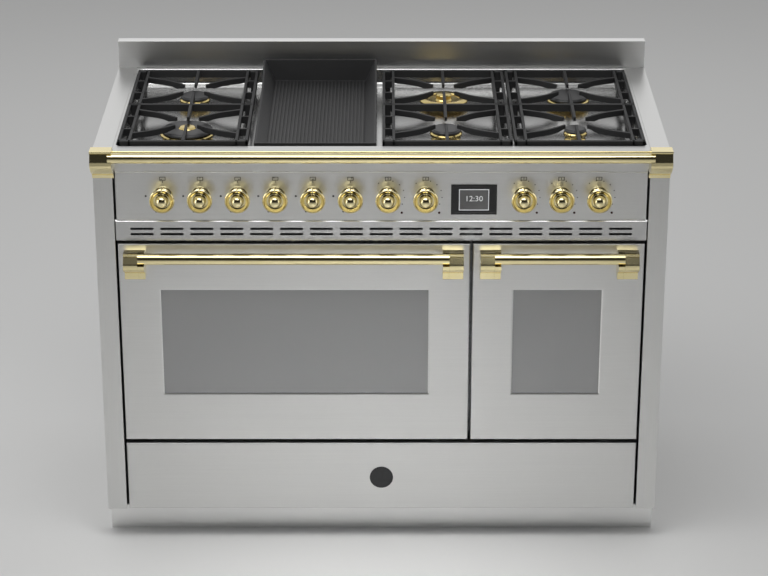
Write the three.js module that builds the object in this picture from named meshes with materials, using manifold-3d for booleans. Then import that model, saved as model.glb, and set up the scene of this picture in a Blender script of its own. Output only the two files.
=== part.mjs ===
// Range cooker, 120 cm wide, with a gas hob, a griddle, two ovens and a storage drawer.
// Millimetres. X runs across the cooker, Y from its front to its back and Z up.
// The origin is under the middle of the whole cooker, on the floor.
// A depth is counted backwards from the plane of the door fronts, a reach forwards from it.

import * as THREE from 'three';
import { mergeVertices } from 'three/addons/utils/BufferGeometryUtils.js';
import Module from 'manifold-3d';

const wasm = await Module();
wasm.setup();

// ---------------------------------------------------------------- driving dimensions

// Body
const BODY_WIDTH = 1200;
const BODY_DEPTH = 600;
const DECK_HEIGHT = 903;
const SPLASH_RISE = 63;
const SPLASH_THICKNESS = 24;
const PLINTH_HEIGHT = 72;
const PLINTH_SETBACK = 49;
const COLUMN_WIDTH = 41;
const PANEL_GAP = 5;
const SHEET = 1.5;
const RETURN_FLANGE = 20;
const SEAT = 0.3;

// Heights of the bands of the front
const APRON_HEIGHT = 45;
const CONTROL_HEIGHT = 107;
const VENT_HEIGHT = 48;
const VENT_TO_DOOR_GAP = 5.6;
const DOOR_TO_DRAWER_GAP = 9;
const DRAWER_FRONT_HEIGHT = 159;
const DRAWER_TO_PLINTH_GAP = 1;

// Doors
const DOOR_SPLIT_X = 190;
const DOOR_SPLIT_GAP = 6;
const DOOR_THICKNESS = 42;
const DOOR_SIDE_RETURN = 30;
const DOOR_BOTTOM_RETURN = 6;
const WINDOW_BOTTOM_MARGIN = 108;
const WINDOW_HEIGHT = 245;
const WINDOW_SIDE_MARGIN = 85;
const GLASS_THICKNESS = 4;
const GLASS_OVERLAP = 12;
const INNER_WINDOW_INSET = 12;
const FRAME_WALL = 3;

// Door hinges
const HINGE_DEPTH = 14;
const HINGE_RISE = 10;
const HINGE_FROM_DOOR_EDGE = 62;
const HINGE_ARM_WIDTH = 14;
const HINGE_ARM_RADIUS = 6;
const HINGE_PIN_RADIUS = 4;
const HINGE_PIN_LENGTH = 6;
const HINGE_RADIAL_PLAY = 0.5;
const HINGE_SIDE_PLAY = 1;

// Handles and rail
const HANDLE_REACH = 50;
const HANDLE_BAR_RADIUS = 12;
const HANDLE_BAR_REACH = 37;
const HANDLE_BRACKET_WIDTH = 43.5;
const HANDLE_BRACKET_HEIGHT = 64;
const HANDLE_BRACKET_FROM_EDGE = 14.5;
const HANDLE_BELOW_DOOR_TOP = 7.4;
const HANDLE_BAR_HEIGHT_SHARE = 0.81;
const BAR_INTO_BRACKET = 14;
const RAIL_RADIUS = 10.3;
const RAIL_REACH = 37;
const RAIL_BELOW_DECK = 2;
const RAIL_INTO_BRACKET = 8;
const RAIL_BRACKET_HEIGHT = 71;
const RAIL_BRACKET_ABOVE_DECK = 15;
const RAIL_BRACKET_REACH = 46;
const RAIL_BRACKET_WIDTH = 45;

// Controls
const KNOB_RADIUS = 26.5;
const KNOB_REACH = 47;
const KNOB_SPACING = 78.2;
const KNOB_HEIGHT_IN_PANEL = 54;
const FIRST_KNOB_X = -455;
const LEFT_KNOB_COUNT = 8;
const FIRST_RIGHT_KNOB_X = 296.4;
const RIGHT_KNOB_COUNT = 3;
const KNOB_SEGMENTS = 12;
const SPINDLE_RADIUS = 4;
const SPINDLE_LENGTH = 14;
const SPINDLE_PLAY = 0.5;
const DISPLAY_X = 193.3;
const DISPLAY_WIDTH = 95.7;
const DISPLAY_HEIGHT = 65.8;
const DISPLAY_HEIGHT_IN_PANEL = 46.4;
const DISPLAY_GLASS = 2;
const DISPLAY_BODY_DEPTH = 26;
const DISPLAY_BEZEL = 2.5;

// Vent strip
const SLOT_COLUMNS = 17;
const SLOT_PITCH = 62.7;
const SLOT_LENGTH = 49;
const SLOT_HEIGHT = 5;
const SLOT_ROW_HEIGHTS = [16.9, 28.8];

// Hob
const HOB_MODULES = 4;
const MODULE_WIDTH = 276.5;
const WELL_DEPTH = 35;
const WELL_FRONT = 36;
const WELL_BACK_MARGIN = 11;
const WELL_FLOOR = 2;
const FRONT_BURNER_DEPTH = 178;
const REAR_BURNER_DEPTH = 406;

// Pan supports
const SUPPORT_ABOVE_DECK = 7;
const SUPPORT_WIDTH = 272;
const SUPPORT_FRONT = 45;
const SUPPORT_LENGTH = 494;
const SUPPORT_BAR_HEIGHT = 16;
const SUPPORT_BAR_WIDTH = 9;
const LADDER_WIDTH = 27;
const LADDER_RAIL = 6;
const LADDER_CELLS = 6;
const FINGER_WIDTH = 7;
const FINGER_HEIGHT = 13;
const FINGER_ROOT_FROM_BURNER = 78;
const FINGER_TIP = 24;
const SUPPORT_LEG = 12;

// Griddle
const GRIDDLE_WIDTH = 256;
const GRIDDLE_FRONT_RIM = 3;
const GRIDDLE_BACK_RIM = 32;
const GRIDDLE_WALL = 4;
const GRIDDLE_FLOOR = 6;
const GRIDDLE_FLOOR_BELOW_DECK = 14;
const GRIDDLE_RIBS = 14;
const GRIDDLE_RIB_WIDTH = 5;
const GRIDDLE_RIB_HEIGHT = 4;
const GRIDDLE_WALL_SLOPE = 22;

// Burners: crown radius, cap form and number of flame ports
const CROWN_HEIGHT = 19;
const CAP_HEIGHT = 7;
const SPIGOT_LENGTH = 8;
const SPIGOT_SHARE = 0.5;
const SPIGOT_PLAY = 0.5;
const PORT_WIDTH = 2.6;
const PORT_HEIGHT = 5;
const BURNER_SEGMENTS = 16;
const ROD_SEGMENTS = 8;
const BURNERS = [
  { name: 'left_front_burner', module: 0, depth: FRONT_BURNER_DEPTH, radius: 62, cap: 'ring', ports: 16 },
  { name: 'left_rear_burner', module: 0, depth: REAR_BURNER_DEPTH, radius: 36, cap: 'plain', ports: 8 },
  { name: 'middle_front_burner', module: 2, depth: FRONT_BURNER_DEPTH, radius: 37, cap: 'plain', ports: 8 },
  { name: 'middle_rear_burner', module: 2, depth: REAR_BURNER_DEPTH, radius: 57, cap: 'none', ports: 16 },
  { name: 'right_front_burner', module: 3, depth: FRONT_BURNER_DEPTH, radius: 27, cap: 'plain', ports: 8 },
  { name: 'right_rear_burner', module: 3, depth: REAR_BURNER_DEPTH, radius: 50, cap: 'plain', ports: 16 },
];

// Ovens
const CAVITY_FLANGE_DEPTH = 50.6;
const CAVITY_SHEET = 2;
const CAVITY_DEPTH = 400;
const CAVITY_BOTTOM_ABOVE_DOOR = 34;
const CAVITY_HEIGHT = 380;
const CAVITY_FLANGE = 14;
const LEFT_CAVITY_WIDTH = 620;
const RIGHT_CAVITY_WIDTH = 250;
const LEDGE_REACH = 12;
const LEDGE_THICKNESS = 5;
const LEDGE_HEIGHTS = [60, 150, 240];
const SEAL_WIDTH = 9;
const SEAL_FROM_OPENING = 3;
const RACK_DEPTH = 380;
const RACK_SIDE_PLAY = 3;
const RACK_ROD = 6;
const RACK_WIRE = 3.5;
const RACK_WIRE_PITCH = 56;
const FAN_RADIUS = 72;
const FAN_BLADES = 8;
const FAN_BLADE_WIDTH = 20;
const FAN_HUB_RADIUS = 16;
const FAN_SHAFT_RADIUS = 4;
const FAN_SHAFT_PLAY = 0.5;
const FAN_SHAFT_BEHIND_WALL = 20;
const FAN_COVER_SIZE = 230;
const FAN_COVER_DEPTH = 38;
const FAN_COVER_SLOTS = 8;

// Drawer
const DRAWER_FRONT_THICKNESS = 18;
const DRAWER_BOX_WIDTH = 1036;
const DRAWER_BOX_DEPTH = 500;
const DRAWER_BOX_HEIGHT = 118;
const RUNNER_HEIGHT = 8;
const RUNNER_WIDTH = 40;

// Chassis
const POST_WIDTH = 38;
const POST_DEPTH = 58;
const PAN_THICKNESS = 2;
const FOOT_RADIUS = 20;
const FOOT_INSET = 60;
const CROSS_RAIL_DEPTH = 46;

// ---------------------------------------------------------------- derived places

const halfWidth = BODY_WIDTH / 2;
const frontReach = Math.max(HANDLE_REACH, KNOB_REACH, RAIL_BRACKET_REACH);
const frontY = (frontReach - BODY_DEPTH) / 2;
const panelHalfWidth = halfWidth - COLUMN_WIDTH - PANEL_GAP;
const stripHalfWidth = halfWidth - COLUMN_WIDTH - SEAT;
const apronBottom = DECK_HEIGHT - APRON_HEIGHT;
const controlBottom = apronBottom - CONTROL_HEIGHT;
const ventBottom = controlBottom - VENT_HEIGHT;
const doorTop = ventBottom - VENT_TO_DOOR_GAP;
const drawerBottom = PLINTH_HEIGHT + DRAWER_TO_PLINTH_GAP;
const drawerTop = drawerBottom + DRAWER_FRONT_HEIGHT;
const doorBottom = drawerTop + DOOR_TO_DRAWER_GAP;
const hingeHeight = doorBottom + HINGE_RISE;
const knobHeight = controlBottom + KNOB_HEIGHT_IN_PANEL;
const wellHalfWidth = (HOB_MODULES * MODULE_WIDTH) / 2;
const wellFloorTop = DECK_HEIGHT - WELL_DEPTH;
const splashFront = BODY_DEPTH - SPLASH_THICKNESS;
const wellBack = splashFront - WELL_BACK_MARGIN;
const supportTop = DECK_HEIGHT + SUPPORT_ABOVE_DECK;
const cavityBottom = doorBottom + CAVITY_BOTTOM_ABOVE_DOOR;
const cavityBack = CAVITY_FLANGE_DEPTH + CAVITY_DEPTH;
const supportCentre = SUPPORT_FRONT + SUPPORT_LENGTH / 2;

const leftDoor = { name: 'left', low: -panelHalfWidth, high: DOOR_SPLIT_X - DOOR_SPLIT_GAP / 2 };
const rightDoor = { name: 'right', low: DOOR_SPLIT_X + DOOR_SPLIT_GAP / 2, high: panelHalfWidth };
const leftOven = { name: 'left', centre: (leftDoor.low + leftDoor.high) / 2, width: LEFT_CAVITY_WIDTH };
const rightOven = { name: 'right', centre: (rightDoor.low + rightDoor.high) / 2, width: RIGHT_CAVITY_WIDTH };

const behind = (depth) => frontY + depth;
const moduleX = (index) => (index - (HOB_MODULES - 1) / 2) * MODULE_WIDTH;

const knobs = [];
for (let i = 0; i < LEFT_KNOB_COUNT; i += 1) {
  knobs.push(FIRST_KNOB_X + i * KNOB_SPACING);
}
for (let i = 0; i < RIGHT_KNOB_COUNT; i += 1) {
  knobs.push(FIRST_RIGHT_KNOB_X + i * KNOB_SPACING);
}

// ---------------------------------------------------------------- making solids

// A closed geometry as a solid: corners are rounded to a thousandth, so that flush faces meet
// exactly, shared corners are merged and collapsed faces dropped.
function toSolid(geometry) {
  const bare = geometry.clone();
  bare.deleteAttribute('normal');
  bare.deleteAttribute('uv');
  const values = bare.attributes.position.array;
  for (let i = 0; i < values.length; i += 1) {
    values[i] = Math.round(values[i] * 1000) / 1000;
  }
  const merged = mergeVertices(bare, 1e-4);
  const places = merged.attributes.position;
  const corners = [];
  const index = merged.index.array;
  let volume = 0;
  const a = new THREE.Vector3();
  const b = new THREE.Vector3();
  const c = new THREE.Vector3();
  for (let i = 0; i < index.length; i += 3) {
    const [p, q, r] = [index[i], index[i + 1], index[i + 2]];
    if (p !== q && q !== r && r !== p) {
      corners.push(p, q, r);
      a.fromBufferAttribute(places, p);
      b.fromBufferAttribute(places, q);
      c.fromBufferAttribute(places, r);
      volume += a.dot(b.cross(c));
    }
  }
  if (volume < 0) {
    corners.reverse();
  }
  return new wasm.Manifold(new wasm.Mesh({
    numProp: 3,
    vertProperties: new Float32Array(places.array),
    triVerts: new Uint32Array(corners),
  }));
}

// A boolean result with its corners rounded to the grid, as points and faces.
const GRID = 0.01;
function roundedMesh(solid) {
  const { vertProperties, triVerts } = solid.getMesh();
  const points = [];
  const numberOf = new Map();
  const merged = [];
  for (let i = 0; i < vertProperties.length; i += 3) {
    const steps = [0, 1, 2].map((axis) => Math.round(vertProperties[i + axis] / GRID));
    const key = steps.join(' ');
    if (!numberOf.has(key)) {
      numberOf.set(key, points.length);
      points.push(new THREE.Vector3(...steps.map((step) => step * GRID)));
    }
    merged.push(numberOf.get(key));
  }
  const faces = [];
  for (let i = 0; i < triVerts.length; i += 3) {
    const [a, b, c] = [merged[triVerts[i]], merged[triVerts[i + 1]], merged[triVerts[i + 2]]];
    if (a !== b && b !== c && c !== a) {
      faces.push([a, b, c]);
    }
  }
  return { points, faces };
}

// Turns the long edge of each face that is thinner than this, so that no face is a mere line.
const THINNEST_FACE = 0.004;
function turnThinFaces({ points, faces }) {
  const side = new THREE.Vector3();
  const other = new THREE.Vector3();
  const sideLength = (a, b) => points[a].distanceTo(points[b]);
  let isChanged = true;
  for (let pass = 0; pass < 20 && isChanged; pass += 1) {
    isChanged = false;
    const faceOfEdge = new Map();
    faces.forEach((face, i) => {
      face.forEach((corner, k) => faceOfEdge.set(`${corner} ${face[(k + 1) % 3]}`, i));
    });
    const turned = new Set();
    for (let i = 0; i < faces.length; i += 1) {
      const lengths = faces[i].map((corner, k) => sideLength(corner, faces[i][(k + 1) % 3]));
      const k = lengths.indexOf(Math.max(...lengths));
      const [a, b, c] = [faces[i][k], faces[i][(k + 1) % 3], faces[i][(k + 2) % 3]];
      side.subVectors(points[b], points[a]);
      other.subVectors(points[c], points[a]);
      const isThin = side.cross(other).length() / lengths[k] < THINNEST_FACE;
      const j = faceOfEdge.get(`${b} ${a}`);
      if (isThin && j !== undefined && !turned.has(i) && !turned.has(j)) {
        const d = faces[j].find((corner) => corner !== a && corner !== b);
        if (d !== c && !faceOfEdge.has(`${c} ${d}`) && !faceOfEdge.has(`${d} ${c}`)) {
          faces[i] = [a, d, c];
          faces[j] = [d, b, c];
          turned.add(i).add(j);
          isChanged = true;
        }
      }
    }
  }
  return { points, faces };
}

// A clean geometry of a solid: flat faces are freed of the needless corners that booleans leave.
function toGeometry(solid) {
  const clean = turnThinFaces(roundedMesh(solid));
  const again = new wasm.Manifold(new wasm.Mesh({
    numProp: 3,
    vertProperties: new Float32Array(clean.points.flatMap((point) => point.toArray())),
    triVerts: new Uint32Array(clean.faces.flat()),
  }));
  const { points, faces } = turnThinFaces(roundedMesh(again.simplify(THINNEST_FACE / 2)));
  const geometry = new THREE.BufferGeometry();
  geometry.setAttribute('position', new THREE.Float32BufferAttribute(points.flatMap((point) => point.toArray()), 3));
  geometry.setIndex(faces.flat());
  geometry.computeVertexNormals();
  return geometry;
}

const join = (first, ...others) => others.reduce((sum, piece) => sum.add(piece), first);
const cut = (first, ...others) => others.reduce((rest, piece) => rest.subtract(piece), first);

function block(x0, x1, y0, y1, z0, z1) {
  const geometry = new THREE.BoxGeometry(x1 - x0, y1 - y0, z1 - z0);
  geometry.translate((x0 + x1) / 2, (y0 + y1) / 2, (z0 + z1) / 2);
  return toSolid(geometry);
}

function extruded(shape, length, curveSegments = 2) {
  return new THREE.ExtrudeGeometry(shape, { depth: length, bevelEnabled: false, curveSegments });
}

const outline = (points) => new THREE.Shape(points.map(([u, v]) => new THREE.Vector2(u, v)));

// A side outline, given as [y, z] points, drawn out along X.
function drawnAlongX(points, x0, x1) {
  const geometry = extruded(outline(points), x1 - x0);
  const turn = new THREE.Matrix4().makeBasis(
    new THREE.Vector3(0, 1, 0), new THREE.Vector3(0, 0, 1), new THREE.Vector3(1, 0, 0),
  );
  geometry.applyMatrix4(turn);
  geometry.translate(x0, 0, 0);
  return toSolid(geometry);
}

// A front outline, a shape in X and Z, drawn out along Y.
function drawnAlongY(shape, y0, y1) {
  const geometry = extruded(shape, y1 - y0);
  geometry.rotateX(Math.PI / 2);
  geometry.translate(0, y1, 0);
  return toSolid(geometry);
}

// A plan outline, a shape in X and Y, drawn out along Z.
function drawnAlongZ(shape, z0, z1) {
  const geometry = extruded(shape, z1 - z0);
  geometry.translate(0, 0, z0);
  return toSolid(geometry);
}

const latheOf = (profile, segments) => new THREE.LatheGeometry(
  profile.map(([radius, height]) => new THREE.Vector2(radius, height)), segments,
);

// A profile of [radius, height] points turned about an upright axis.
function turnedUpright(profile, segments = BURNER_SEGMENTS) {
  const geometry = latheOf(profile, segments);
  geometry.rotateX(Math.PI / 2);
  return toSolid(geometry);
}

// A profile of [radius, reach] points turned about an axis that points to the front.
function turnedForward(profile, segments) {
  const geometry = latheOf(profile, segments);
  geometry.rotateZ(Math.PI);
  return toSolid(geometry);
}

function rod(axis, radius, low, high, u, v, segments = ROD_SEGMENTS) {
  const geometry = new THREE.CylinderGeometry(radius, radius, high - low, segments);
  const middle = (low + high) / 2;
  if (axis === 'x') {
    geometry.rotateZ(Math.PI / 2);
    geometry.translate(middle, u, v);
  } else if (axis === 'y') {
    geometry.translate(u, middle, v);
  } else {
    geometry.rotateX(Math.PI / 2);
    geometry.translate(u, v, middle);
  }
  return toSolid(geometry);
}

function roundedRectangle(x0, x1, z0, z1, radius) {
  const shape = new THREE.Shape();
  shape.moveTo(x0 + radius, z0);
  shape.lineTo(x1 - radius, z0);
  shape.absarc(x1 - radius, z0 + radius, radius, -Math.PI / 2, 0);
  shape.lineTo(x1, z1 - radius);
  shape.absarc(x1 - radius, z1 - radius, radius, 0, Math.PI / 2);
  shape.lineTo(x0 + radius, z1);
  shape.absarc(x0 + radius, z1 - radius, radius, Math.PI / 2, Math.PI);
  shape.lineTo(x0, z0 + radius);
  shape.absarc(x0 + radius, z0 + radius, radius, Math.PI, Math.PI * 1.5);
  return shape;
}

// A folded sheet tray, open to the back: a front plate with returns round its edges.
function foldedTray(x0, x1, z0, z1, sideReturn, bottomReturn = sideReturn, topReturn = sideReturn) {
  const deepest = Math.max(sideReturn, bottomReturn, topReturn);
  const beyond = behind(deepest + 1);
  const tray = cut(
    block(x0, x1, behind(0), behind(deepest), z0, z1),
    block(x0 + SHEET, x1 - SHEET, behind(SHEET), beyond, z0 + SHEET, z1 - SHEET),
  );
  const trims = [];
  if (sideReturn < deepest) {
    trims.push(block(x0 - 1, x0 + SHEET, behind(sideReturn), beyond, z0 - 1, z1 + 1));
    trims.push(block(x1 - SHEET, x1 + 1, behind(sideReturn), beyond, z0 - 1, z1 + 1));
  }
  if (bottomReturn < deepest) {
    trims.push(block(x0 - 1, x1 + 1, behind(bottomReturn), beyond, z0 - 1, z0 + SHEET));
  }
  if (topReturn < deepest) {
    trims.push(block(x0 - 1, x1 + 1, behind(topReturn), beyond, z1 - SHEET, z1 + 1));
  }
  return cut(tray, ...trims);
}

// ---------------------------------------------------------------- the assembly

const FINISH = {
  brushedSteel: { color: 0xb9b9b6, roughness: 0.38, metalness: 1 },
  darkSteel: { color: 0x6d6f70, roughness: 0.5, metalness: 0.9 },
  galvanised: { color: 0x9da1a3, roughness: 0.5, metalness: 0.9 },
  polishedBrass: { color: 0xd8b25a, roughness: 0.16, metalness: 1 },
  burnerBrass: { color: 0xb8934a, roughness: 0.32, metalness: 1 },
  castIron: { color: 0x232324, roughness: 0.7, metalness: 0.2 },
  blackEnamel: { color: 0x161617, roughness: 0.3, metalness: 0.1 },
  ovenEnamel: { color: 0x2f3133, roughness: 0.35, metalness: 0.1 },
  blackGlass: { color: 0x0b0b0d, roughness: 0.08, metalness: 0 },
  clearGlass: { color: 0x8f9394, roughness: 0.05, metalness: 0 },
  sealRubber: { color: 0x1b1b1b, roughness: 0.85, metalness: 0 },
  chromedWire: { color: 0xc7c9cb, roughness: 0.2, metalness: 1 },
};

const cooker = new THREE.Group();
cooker.name = 'range_cooker';

function place(name, solid, finish, x = 0, y = 0, z = 0) {
  const mesh = new THREE.Mesh(toGeometry(solid), new THREE.MeshStandardMaterial(FINISH[finish]));
  mesh.name = name;
  mesh.position.set(x, y, z);
  cooker.add(mesh);
}

// ---------------------------------------------------------------- body shell

// Side panel: one folded sheet with a front column flange, a top trim and a back flange.
function sidePanel(side) {
  const outer = side * halfWidth;
  const across = (reach) => [Math.min(outer, outer - side * reach), Math.max(outer, outer - side * reach)];
  const [wall0, wall1] = across(SHEET);
  const [flange0, flange1] = across(COLUMN_WIDTH);
  const [back0, back1] = across(RETURN_FLANGE);
  const backPlane = BODY_DEPTH - SHEET;
  const wall = block(wall0, wall1, behind(0), behind(backPlane), PLINTH_HEIGHT, DECK_HEIGHT);
  const column = block(flange0, flange1, behind(0), behind(SHEET), PLINTH_HEIGHT, DECK_HEIGHT);
  const trim = block(flange0, flange1, behind(0), behind(backPlane), DECK_HEIGHT - SHEET, DECK_HEIGHT);
  const lip = block(back0, back1, behind(backPlane - SHEET), behind(backPlane), PLINTH_HEIGHT, DECK_HEIGHT);
  return join(wall, column, trim, lip);
}
place('left_side_panel', sidePanel(-1), 'brushedSteel');
place('right_side_panel', sidePanel(1), 'brushedSteel');

// Back panel: a flat sheet with two banks of cooling louvres behind the ovens.
function backPanel() {
  const bankRows = 3;
  const bankColumns = 3;
  const louvreLength = 90;
  const louvreHeight = 8;
  const rowPitch = 24;
  const columnPitch = 120;
  const bankX = [leftOven.centre, rightOven.centre];
  const firstRow = doorTop - bankRows * rowPitch;
  const plate = block(
    -halfWidth + SEAT, halfWidth - SEAT, behind(BODY_DEPTH - SHEET + SEAT), behind(BODY_DEPTH),
    PLINTH_HEIGHT, DECK_HEIGHT - SEAT,
  );
  const slots = [];
  for (const centre of bankX) {
    for (let row = 0; row < bankRows; row += 1) {
      for (let column = 0; column < bankColumns; column += 1) {
        const x = centre + (column - (bankColumns - 1) / 2) * columnPitch;
        const z = firstRow + row * rowPitch;
        slots.push(block(
          x - louvreLength / 2, x + louvreLength / 2, behind(BODY_DEPTH - 5), behind(BODY_DEPTH + 5),
          z, z + louvreHeight,
        ));
      }
    }
  }
  return cut(plate, ...slots);
}
place('back_panel', backPanel(), 'galvanised');

// Plinth: a recessed skirt round the front and the sides, with a lip that carries the body.
function plinth() {
  const top = PLINTH_HEIGHT - SEAT;
  const back = BODY_DEPTH - PLINTH_SETBACK;
  const outer = block(-halfWidth, halfWidth, behind(PLINTH_SETBACK), behind(back), 0, top);
  const inner = block(
    -halfWidth + SHEET, halfWidth - SHEET, behind(PLINTH_SETBACK + SHEET), behind(back + 1), -1, top - SHEET,
  );
  const mouth = block(
    -halfWidth + RETURN_FLANGE, halfWidth - RETURN_FLANGE, behind(PLINTH_SETBACK + RETURN_FLANGE),
    behind(back + 1), -1, top + 1,
  );
  return cut(outer, inner, mouth);
}
place('plinth', plinth(), 'brushedSteel');

// Chassis: bottom pan, feet, corner posts, the rails that carry the ovens, the drawer runners
// and the hinge arms with their pins, welded into one frame.
const postOuter = halfWidth - SHEET - SEAT;
const postInner = postOuter - POST_WIDTH;
const panTop = PLINTH_HEIGHT + PAN_THICKNESS;
const chassisBack = BODY_DEPTH - 2 * SHEET - SEAT;
const crossRailTop = cavityBottom - CAVITY_FLANGE - 2;
const upstandTop = cavityBottom - CAVITY_SHEET - 8;
const doorHinges = [leftDoor, rightDoor].flatMap(
  (door) => [door.low + HINGE_FROM_DOOR_EDGE, door.high - HINGE_FROM_DOOR_EDGE],
);

function hingeArm(x) {
  const half = HINGE_ARM_WIDTH / 2;
  const reach = half + HINGE_SIDE_PLAY + HINGE_PIN_LENGTH;
  const arm = block(
    x - half, x + half, behind(HINGE_DEPTH), behind(CROSS_RAIL_DEPTH + 4),
    hingeHeight - HINGE_ARM_RADIUS, hingeHeight + HINGE_ARM_RADIUS,
  );
  const eye = rod('x', HINGE_ARM_RADIUS, x - half, x + half, behind(HINGE_DEPTH), hingeHeight);
  const pin = rod('x', HINGE_PIN_RADIUS, x - reach, x + reach, behind(HINGE_DEPTH), hingeHeight);
  return join(arm, eye, pin);
}

function chassis() {
  const frontLip = DRAWER_FRONT_THICKNESS + 2;
  const pan = block(-postOuter, postOuter, behind(frontLip), behind(chassisBack), PLINTH_HEIGHT, panTop);
  const pieces = [];
  const postTop = DECK_HEIGHT - SHEET - SEAT;
  for (const side of [-1, 1]) {
    const [x0, x1] = side < 0 ? [-postOuter, -postInner] : [postInner, postOuter];
    pieces.push(block(x0, x1, behind(SHEET + SEAT), behind(POST_DEPTH), PLINTH_HEIGHT, postTop));
    pieces.push(block(x0, x1, behind(chassisBack - POST_WIDTH), behind(chassisBack), PLINTH_HEIGHT, postTop));
    pieces.push(block(x0, x1, behind(POST_DEPTH), behind(chassisBack), postTop - RETURN_FLANGE, postTop));
    for (const depth of [PLINTH_SETBACK + FOOT_INSET, chassisBack - FOOT_INSET]) {
      const footX = side * (halfWidth - FOOT_INSET);
      pieces.push(rod('z', FOOT_RADIUS, 0, panTop - 1, footX, behind(depth)));
    }
    const boxSide = DRAWER_BOX_WIDTH / 2;
    const [ledge0, ledge1] = side < 0
      ? [-boxSide - SHEET * 2, -boxSide + RUNNER_WIDTH]
      : [boxSide - RUNNER_WIDTH, boxSide + SHEET * 2];
    const [guide0, guide1] = side < 0
      ? [-boxSide - SHEET * 2, -boxSide - SEAT]
      : [boxSide + SEAT, boxSide + SHEET * 2];
    const runnerFront = behind(POST_DEPTH);
    const runnerBack = behind(chassisBack - POST_WIDTH);
    const runnerTop = panTop + RUNNER_HEIGHT;
    pieces.push(block(ledge0, ledge1, runnerFront, runnerBack, panTop - 1, runnerTop));
    pieces.push(block(guide0, guide1, runnerFront, runnerBack, panTop - 1, runnerTop + RUNNER_HEIGHT));
  }
  const railLow = drawerTop - 12;
  const railBack = POST_DEPTH;
  pieces.push(block(
    -postOuter, postOuter, behind(CROSS_RAIL_DEPTH), behind(railBack), railLow, crossRailTop,
  ));
  const upstandFront = CAVITY_FLANGE_DEPTH + CAVITY_SHEET + SEAT;
  pieces.push(block(-postOuter, postOuter, behind(upstandFront), behind(railBack), railLow, upstandTop));
  const mullion = DOOR_SPLIT_GAP;
  pieces.push(block(
    DOOR_SPLIT_X - mullion, DOOR_SPLIT_X + mullion, behind(upstandFront), behind(railBack),
    railLow, apronBottom - 2,
  ));
  const topRailLow = apronBottom - 14;
  pieces.push(block(
    -postOuter, postOuter, behind(RETURN_FLANGE + 2), behind(railBack), topRailLow, apronBottom - SHEET - SEAT,
  ));
  const trayLow = cavityBottom + CAVITY_HEIGHT + CAVITY_SHEET + 4;
  pieces.push(block(-postOuter, postOuter, behind(upstandFront), behind(railBack), trayLow, trayLow + 10));
  return join(pan, ...pieces, ...doorHinges.map(hingeArm));
}
place('chassis', chassis(), 'galvanised');

// ---------------------------------------------------------------- hob

// Hob deck: rim, pressed well with burner holes, and the front apron, folded from one sheet.
const deckHalfWidth = halfWidth - COLUMN_WIDTH - SEAT;
const spigotRadius = (burner) => burner.radius * SPIGOT_SHARE;

function hobDeck() {
  const rim = block(
    -deckHalfWidth, deckHalfWidth, behind(0), behind(splashFront - SEAT), DECK_HEIGHT - SHEET, DECK_HEIGHT,
  );
  const wellOuter = block(
    -wellHalfWidth - SHEET, wellHalfWidth + SHEET, behind(WELL_FRONT - SHEET), behind(wellBack + SHEET),
    wellFloorTop - WELL_FLOOR, DECK_HEIGHT,
  );
  const well = block(
    -wellHalfWidth, wellHalfWidth, behind(WELL_FRONT), behind(wellBack), wellFloorTop, DECK_HEIGHT + 1,
  );
  const apron = block(-panelHalfWidth, panelHalfWidth, behind(0), behind(SHEET), apronBottom, DECK_HEIGHT);
  const apronLip = block(
    -panelHalfWidth, panelHalfWidth, behind(0), behind(RETURN_FLANGE), apronBottom, apronBottom + SHEET,
  );
  const holes = BURNERS.map((burner) => rod(
    'z', spigotRadius(burner) + SPIGOT_PLAY, wellFloorTop - 10, wellFloorTop + 10,
    moduleX(burner.module), behind(burner.depth), BURNER_SEGMENTS,
  ));
  return cut(join(rim, wellOuter, apron, apronLip), well, ...holes);
}
place('hob_deck', hobDeck(), 'brushedSteel');

// Splashback: a folded upstand across the back, open to the rear, with closed ends.
function splashback() {
  const low = DECK_HEIGHT + SEAT;
  const top = DECK_HEIGHT + SPLASH_RISE;
  const outer = block(-halfWidth, halfWidth, behind(splashFront), behind(BODY_DEPTH), low, top);
  const hollow = block(
    -halfWidth + SHEET, halfWidth - SHEET, behind(splashFront + SHEET), behind(BODY_DEPTH + 1),
    low + SHEET, top - SHEET,
  );
  return cut(outer, hollow);
}
place('splashback', splashback(), 'brushedSteel');

// Burner crown: a turned brass body with a spigot in the deck and flame ports cut round its rim.
function burnerCrown(burner) {
  const r = burner.radius;
  const rim = r * 0.94;
  const neck = r * 0.72;
  const bowl = r * 0.62;
  const spigot = spigotRadius(burner);
  const profile = [
    [0, -SPIGOT_LENGTH], [spigot, -SPIGOT_LENGTH], [spigot, 0], [r * 0.86, 0],
    [neck, 6], [rim, 12], [rim, CROWN_HEIGHT], [bowl, CROWN_HEIGHT],
  ];
  if (burner.cap === 'plain') {
    profile.push([bowl, CROWN_HEIGHT - 4], [0, CROWN_HEIGHT - 4]);
  } else {
    const boss = r * 0.3;
    const bossTop = CROWN_HEIGHT + CAP_HEIGHT + 3;
    profile.push([bowl, CROWN_HEIGHT - 3], [boss, CROWN_HEIGHT - 3], [boss, bossTop - 3]);
    profile.push([boss * 0.8, bossTop], [0, bossTop]);
  }
  const body = turnedUpright(profile);
  const ports = [];
  for (let i = 0; i < burner.ports; i += 1) {
    const port = new THREE.BoxGeometry(r, PORT_WIDTH, PORT_HEIGHT * 2);
    port.translate(r * 0.7 + r / 2, 0, CROWN_HEIGHT);
    port.rotateZ(((i + 0.5) / burner.ports) * Math.PI * 2);
    ports.push(toSolid(port));
  }
  return cut(body, ...ports);
}

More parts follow.
